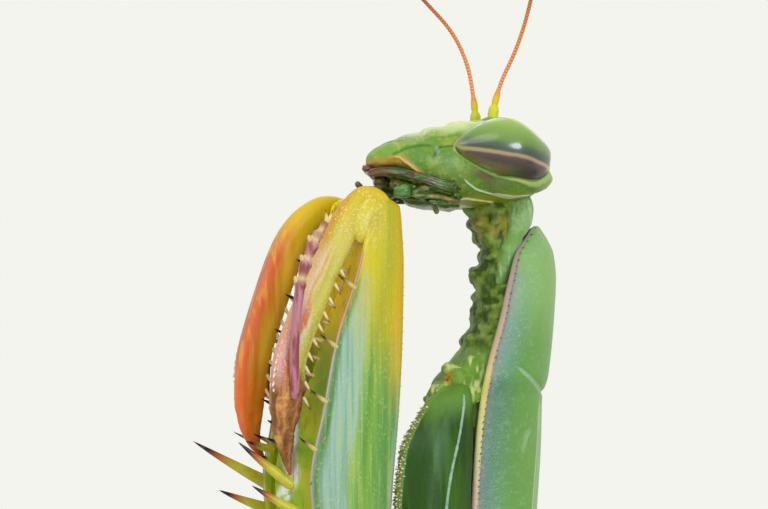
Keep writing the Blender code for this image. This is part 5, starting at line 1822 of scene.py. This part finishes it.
def walking_tarsus(name, ankle, toe, finish, claw):
    flat = np.array((toe[0] - ankle[0], toe[1] - ankle[1], 0.0))
    ahead = unit(flat)
    points, ends, gone = [], [], 0.0
    for share in TARSOMERES:
        for t, swell in ((0.0, 0.7), (0.3, 0.85), (0.75, 1.1), (0.98, 1.3)):
            s = gone + share * t
            height = 0.24 + max(0.0, 0.75 * (1 - s / 0.3))
            spot = np.array((ankle[0], ankle[1], height)) + flat * (0.02 + 0.95 * s)
            points.append((*spot, 0.24 * swell))
        gone += share
        ends.append(points[-1])
    path = through(points, 240)
    body = limb(path, 20)
    pads = [ball((x, y, 0.16), (0.3, 0.26, 0.16), STANCE) for x, y, _, _ in ends[:4]]
    mesh = joined([body, *pads])
    local, _ = points_of(mesh, STANCE)
    local[:, 2] = np.maximum(local[:, 2], 0.0)
    move_to(mesh, local, STANCE)
    settle(f"{name}_joints", mesh, "walking_leg", finish, name)
    beside = np.array((-ahead[1], ahead[0], 0))
    tip = np.array(ends[-1][:3]) - ahead * 0.1
    ways = [ahead + beside * s * 0.5 + (0, 0, 0.25) for s in SIDES.values()]
    mesh = grown("spine", [tip, tip], ways, 0.95, 0.15, claw, STANCE, 10, 10, 0.7)
    settle(f"{name}_claws", mesh, "walking_leg", claw)


def walking_leg(pair, word, finish, claw, hair):
    side = SIDES[word]
    hip, root, knee, ankle, toe = (np.array((-back, side * out, up)) for back, out, up in WALKING_LEGS[pair])

    def shell(part, mesh):
        name = f"{pair}_{part}_{word}"
        settle(name + "_shell", mesh, "walking_leg", finish, name)

    coxa = [(*(hip + (root - hip) * share), size) for share, size in COXA_SIZES]
    shell("coxa", limb(through(coxa, 90), 36))
    along = unit(knee - root)
    femur = tapered(root - along * 0.2, knee, [THICK_FEMUR[pair] * s for s in FEMUR_SIZES], 0.35)
    knuckle = ball(knee, (0.48, 0.48, 0.52), STANCE)
    shell("femur", joined([limb(femur, 32, 0.05), knuckle]))
    tibia = tapered(knee, ankle, [0.31 * s for s in TIBIA_SIZES])
    ends = [ankle + (0, 0, 0.25)] * 2
    down = unit(ankle - knee)
    ways = [down + unit(np.cross(down, (0, 0, 1))) * s * 0.5 for s in (1, -1)]
    spurs = grown("spine", ends, ways, 1.1, 0.12, finish, STANCE, 8, 6, 0.8, along=1.0)
    shell("tibia", joined([limb(tibia, 24, 0.06), spurs]))
    hairs(f"{pair}_tibia_{word}_hairs", tibia, 150, 0.32, hair)
    walking_tarsus(f"{pair}_tarsus_{word}", ankle, toe, finish, claw)


def leg_finish():
    leg = cuticle("leg_cuticle", Roughness=0.4)
    along, joint = leg.mark("along"), leg.mark("joint")
    blotch, fine = leg.noise(0.9, 3.0), leg.noise(0.15, 3.0)
    return leg.done(
        leg.blend(blotch.step(0.38, 0.62), (112, 146, 66), (136, 166, 84)),
        (along.step(0.8, 1.0) * 0.35, 170, 160, 90),
        (joint * 0.6, 150, 150, 76),
        roughness=0.36 + 0.14 * blotch, height=fine + blotch, depth=0.012,
    )


# ------------ the animal
def dress():
    head_capsule(head_finish())
    eyes = eye_finish()
    for word in SIDES:
        eye(word, eyes)
    mandibles(mouth_finish("mandible_cuticle", 1.0))
    soft_mouth = mouth_finish("mouthpart_cuticle", 0.45)
    maxillae(soft_mouth)
    palps(soft_mouth)
    feeler = antenna_finish()
    shell, rim = shield_finish(), rim_finish()
    shield(shell)
    teeth = dark_tip_finish("margin_teeth", (120, 96, 60), (70, 48, 30), (40, 26, 20))
    breast_and_neck(membrane_finish())
    coxa, femur, tarsus = coxa_finish(), femur_finish(), tarsus_finish()
    grains = plain_finish("coxa_granules", (190, 196, 160), (120, 130, 84), 0.2)
    pale_ridge = plain_finish("coxa_ridge", (130, 160, 140), (104, 136, 108), 0.2)
    spine = dark_tip_finish("femur_spines", (196, 176, 110), (150, 110, 70), (24, 18, 20), 0.6)
    big_spine = dark_tip_finish("discoidal_spines", (176, 172, 50), (160, 90, 40), (26, 18, 26), 0.66)
    hook = dark_tip_finish("tibia_spines", (206, 186, 140), (170, 120, 70), (30, 20, 18), 0.7)
    saw = dark_tip_finish("tibia_saw", (200, 160, 150), (214, 186, 176), (220, 204, 196), 0.6)
    denticles = plain_finish("femur_denticles", (120, 90, 90), (150, 120, 110), 0.2)
    claw = dark_tip_finish("tarsus_claws", (206, 186, 120), (170, 130, 80), (60, 36, 30), 0.75)
    tibias = {"left": near_tibia_finish(), "right": far_tibia_finish()}
    body, leg = body_finish(), leg_finish()
    hair = plain_finish("leg_hairs", (150, 130, 80), (110, 96, 60), 0.3)
    leg_claw = dark_tip_finish("leg_claws", (150, 130, 70), (100, 70, 40), (40, 28, 20), 0.6)
    middle_thorax(body)
    abdomen(body)
    tegmen = wing_finish("tegmen_sheet", (104, 142, 54), (178, 186, 110), (132, 164, 84))
    hindwing = wing_finish("hindwing_sheet", (150, 160, 110), (170, 140, 100), (110, 120, 70))
    for name in FOLDED_WINGS:
        wing(name, tegmen if name.startswith("tegmen") else hindwing)
    for word in SIDES:
        cercus(word, leg, hair)
        for pair in WALKING_LEGS:
            walking_leg(pair, word, leg, leg_claw, hair)
        antenna(word, feeler)
        shield_rim(word, rim)
        shield_teeth(word, teeth)
        fore_coxa(word, coxa, grains, pale_ridge)
        fore_trochanter(word, coxa)
        fore_femur(word, femur, spine, big_spine, denticles)
        fore_tibia(word, tibias[word], hook, saw)
        fore_tarsus(word, tarsus, claw)


dress()


# ------------ stage, light and camera
VIEW_TURN = 6  # degrees from square on to the animal's left side
AIM_BACK, AIM_HEIGHT = -3.765, 32.98
CAMERA_AWAY, FRAME_WIDE = 200.0, 30.118
FLOOR_RADIUS, FLOOR_DROP = 0.3, 0.0002  # in metres, like the two distances where it starts and ends fading
FLOOR_FADE = (0.07, 0.2)
LAMP_AIM = 28  # height that every lamp points at


def stage():
    """A pale round floor that fades out towards its edge."""
    mesh = bpy.data.meshes.new("floor")
    rim = [(FLOOR_RADIUS * c, FLOOR_RADIUS * s, -FLOOR_DROP) for c, s in zip(*circle(96))]
    mesh.from_pydata(rim, [], [tuple(range(96))])
    floor = bpy.data.objects.new("floor", mesh)
    bpy.context.scene.collection.objects.link(floor)
    ground = Finish("floor_paper", Roughness=0.9, Specular_IOR_Level=0.1)
    radius = ground.node("ShaderNodeVectorMath", {"operation": "LENGTH"}, {0: ground.place()}, "Value")
    colour = ground.blend(ground.noise(2.0, 2.0) * 0.3, (214, 214, 208), (208, 208, 202))
    mesh.materials.append(ground.done(colour, alpha=radius.fall(*FLOOR_FADE)))


def lamp(name, place, size, power, colour):
    light = bpy.data.lights.new(name, "AREA")
    light.shape, light.size, light.energy, light.color = "DISK", size * MM, power, colour
    obj = bpy.data.objects.new(name, light)
    bpy.context.scene.collection.objects.link(obj)
    at = STANCE.translation + Vector(place)
    aim = STANCE.translation + Vector((0, 0, LAMP_AIM))
    obj.location = at * MM
    obj.rotation_euler = (aim - at).to_track_quat("-Z", "Y").to_euler()
    obj.visible_camera = False


def light_and_camera():
    scene = bpy.context.scene
    world = bpy.data.worlds.new("studio")
    world.use_nodes = True
    world.node_tree.nodes["Background"].inputs["Color"].default_value = tone(243, 244, 237)
    scene.world = world
    lamp("key", (-240, -300, 350), 400, 0.9, (1.0, 0.98, 0.94))
    lamp("window", (92, -300, 72), 120, 0.52, (0.84, 0.92, 1.0))
    lamp("back", (120, 400, 300), 400, 0.24, (1.0, 1.0, 0.98))
    turn = math.radians(VIEW_TURN)
    right = Vector((math.cos(turn), -math.sin(turn), 0))
    ahead = Vector((math.sin(turn), math.cos(turn), 0))
    aim = STANCE.translation + right * AIM_BACK + Vector((0, 0, AIM_HEIGHT))
    lens = bpy.data.cameras.new("camera")
    lens.sensor_width, lens.lens = 36, 36 * CAMERA_AWAY / FRAME_WIDE
    lens.clip_start, lens.clip_end = 0.005, 20
    camera = bpy.data.objects.new("camera", lens)
    scene.collection.objects.link(camera)
    frame_axes = Matrix((right, Vector((0, 0, 1)), -ahead)).transposed().to_4x4()
    camera.matrix_world = Matrix.Translation((aim - ahead * CAMERA_AWAY) * MM) @ frame_axes
    scene.camera = camera
    scene.view_settings.view_transform = "Standard"


stage()
light_and_camera()
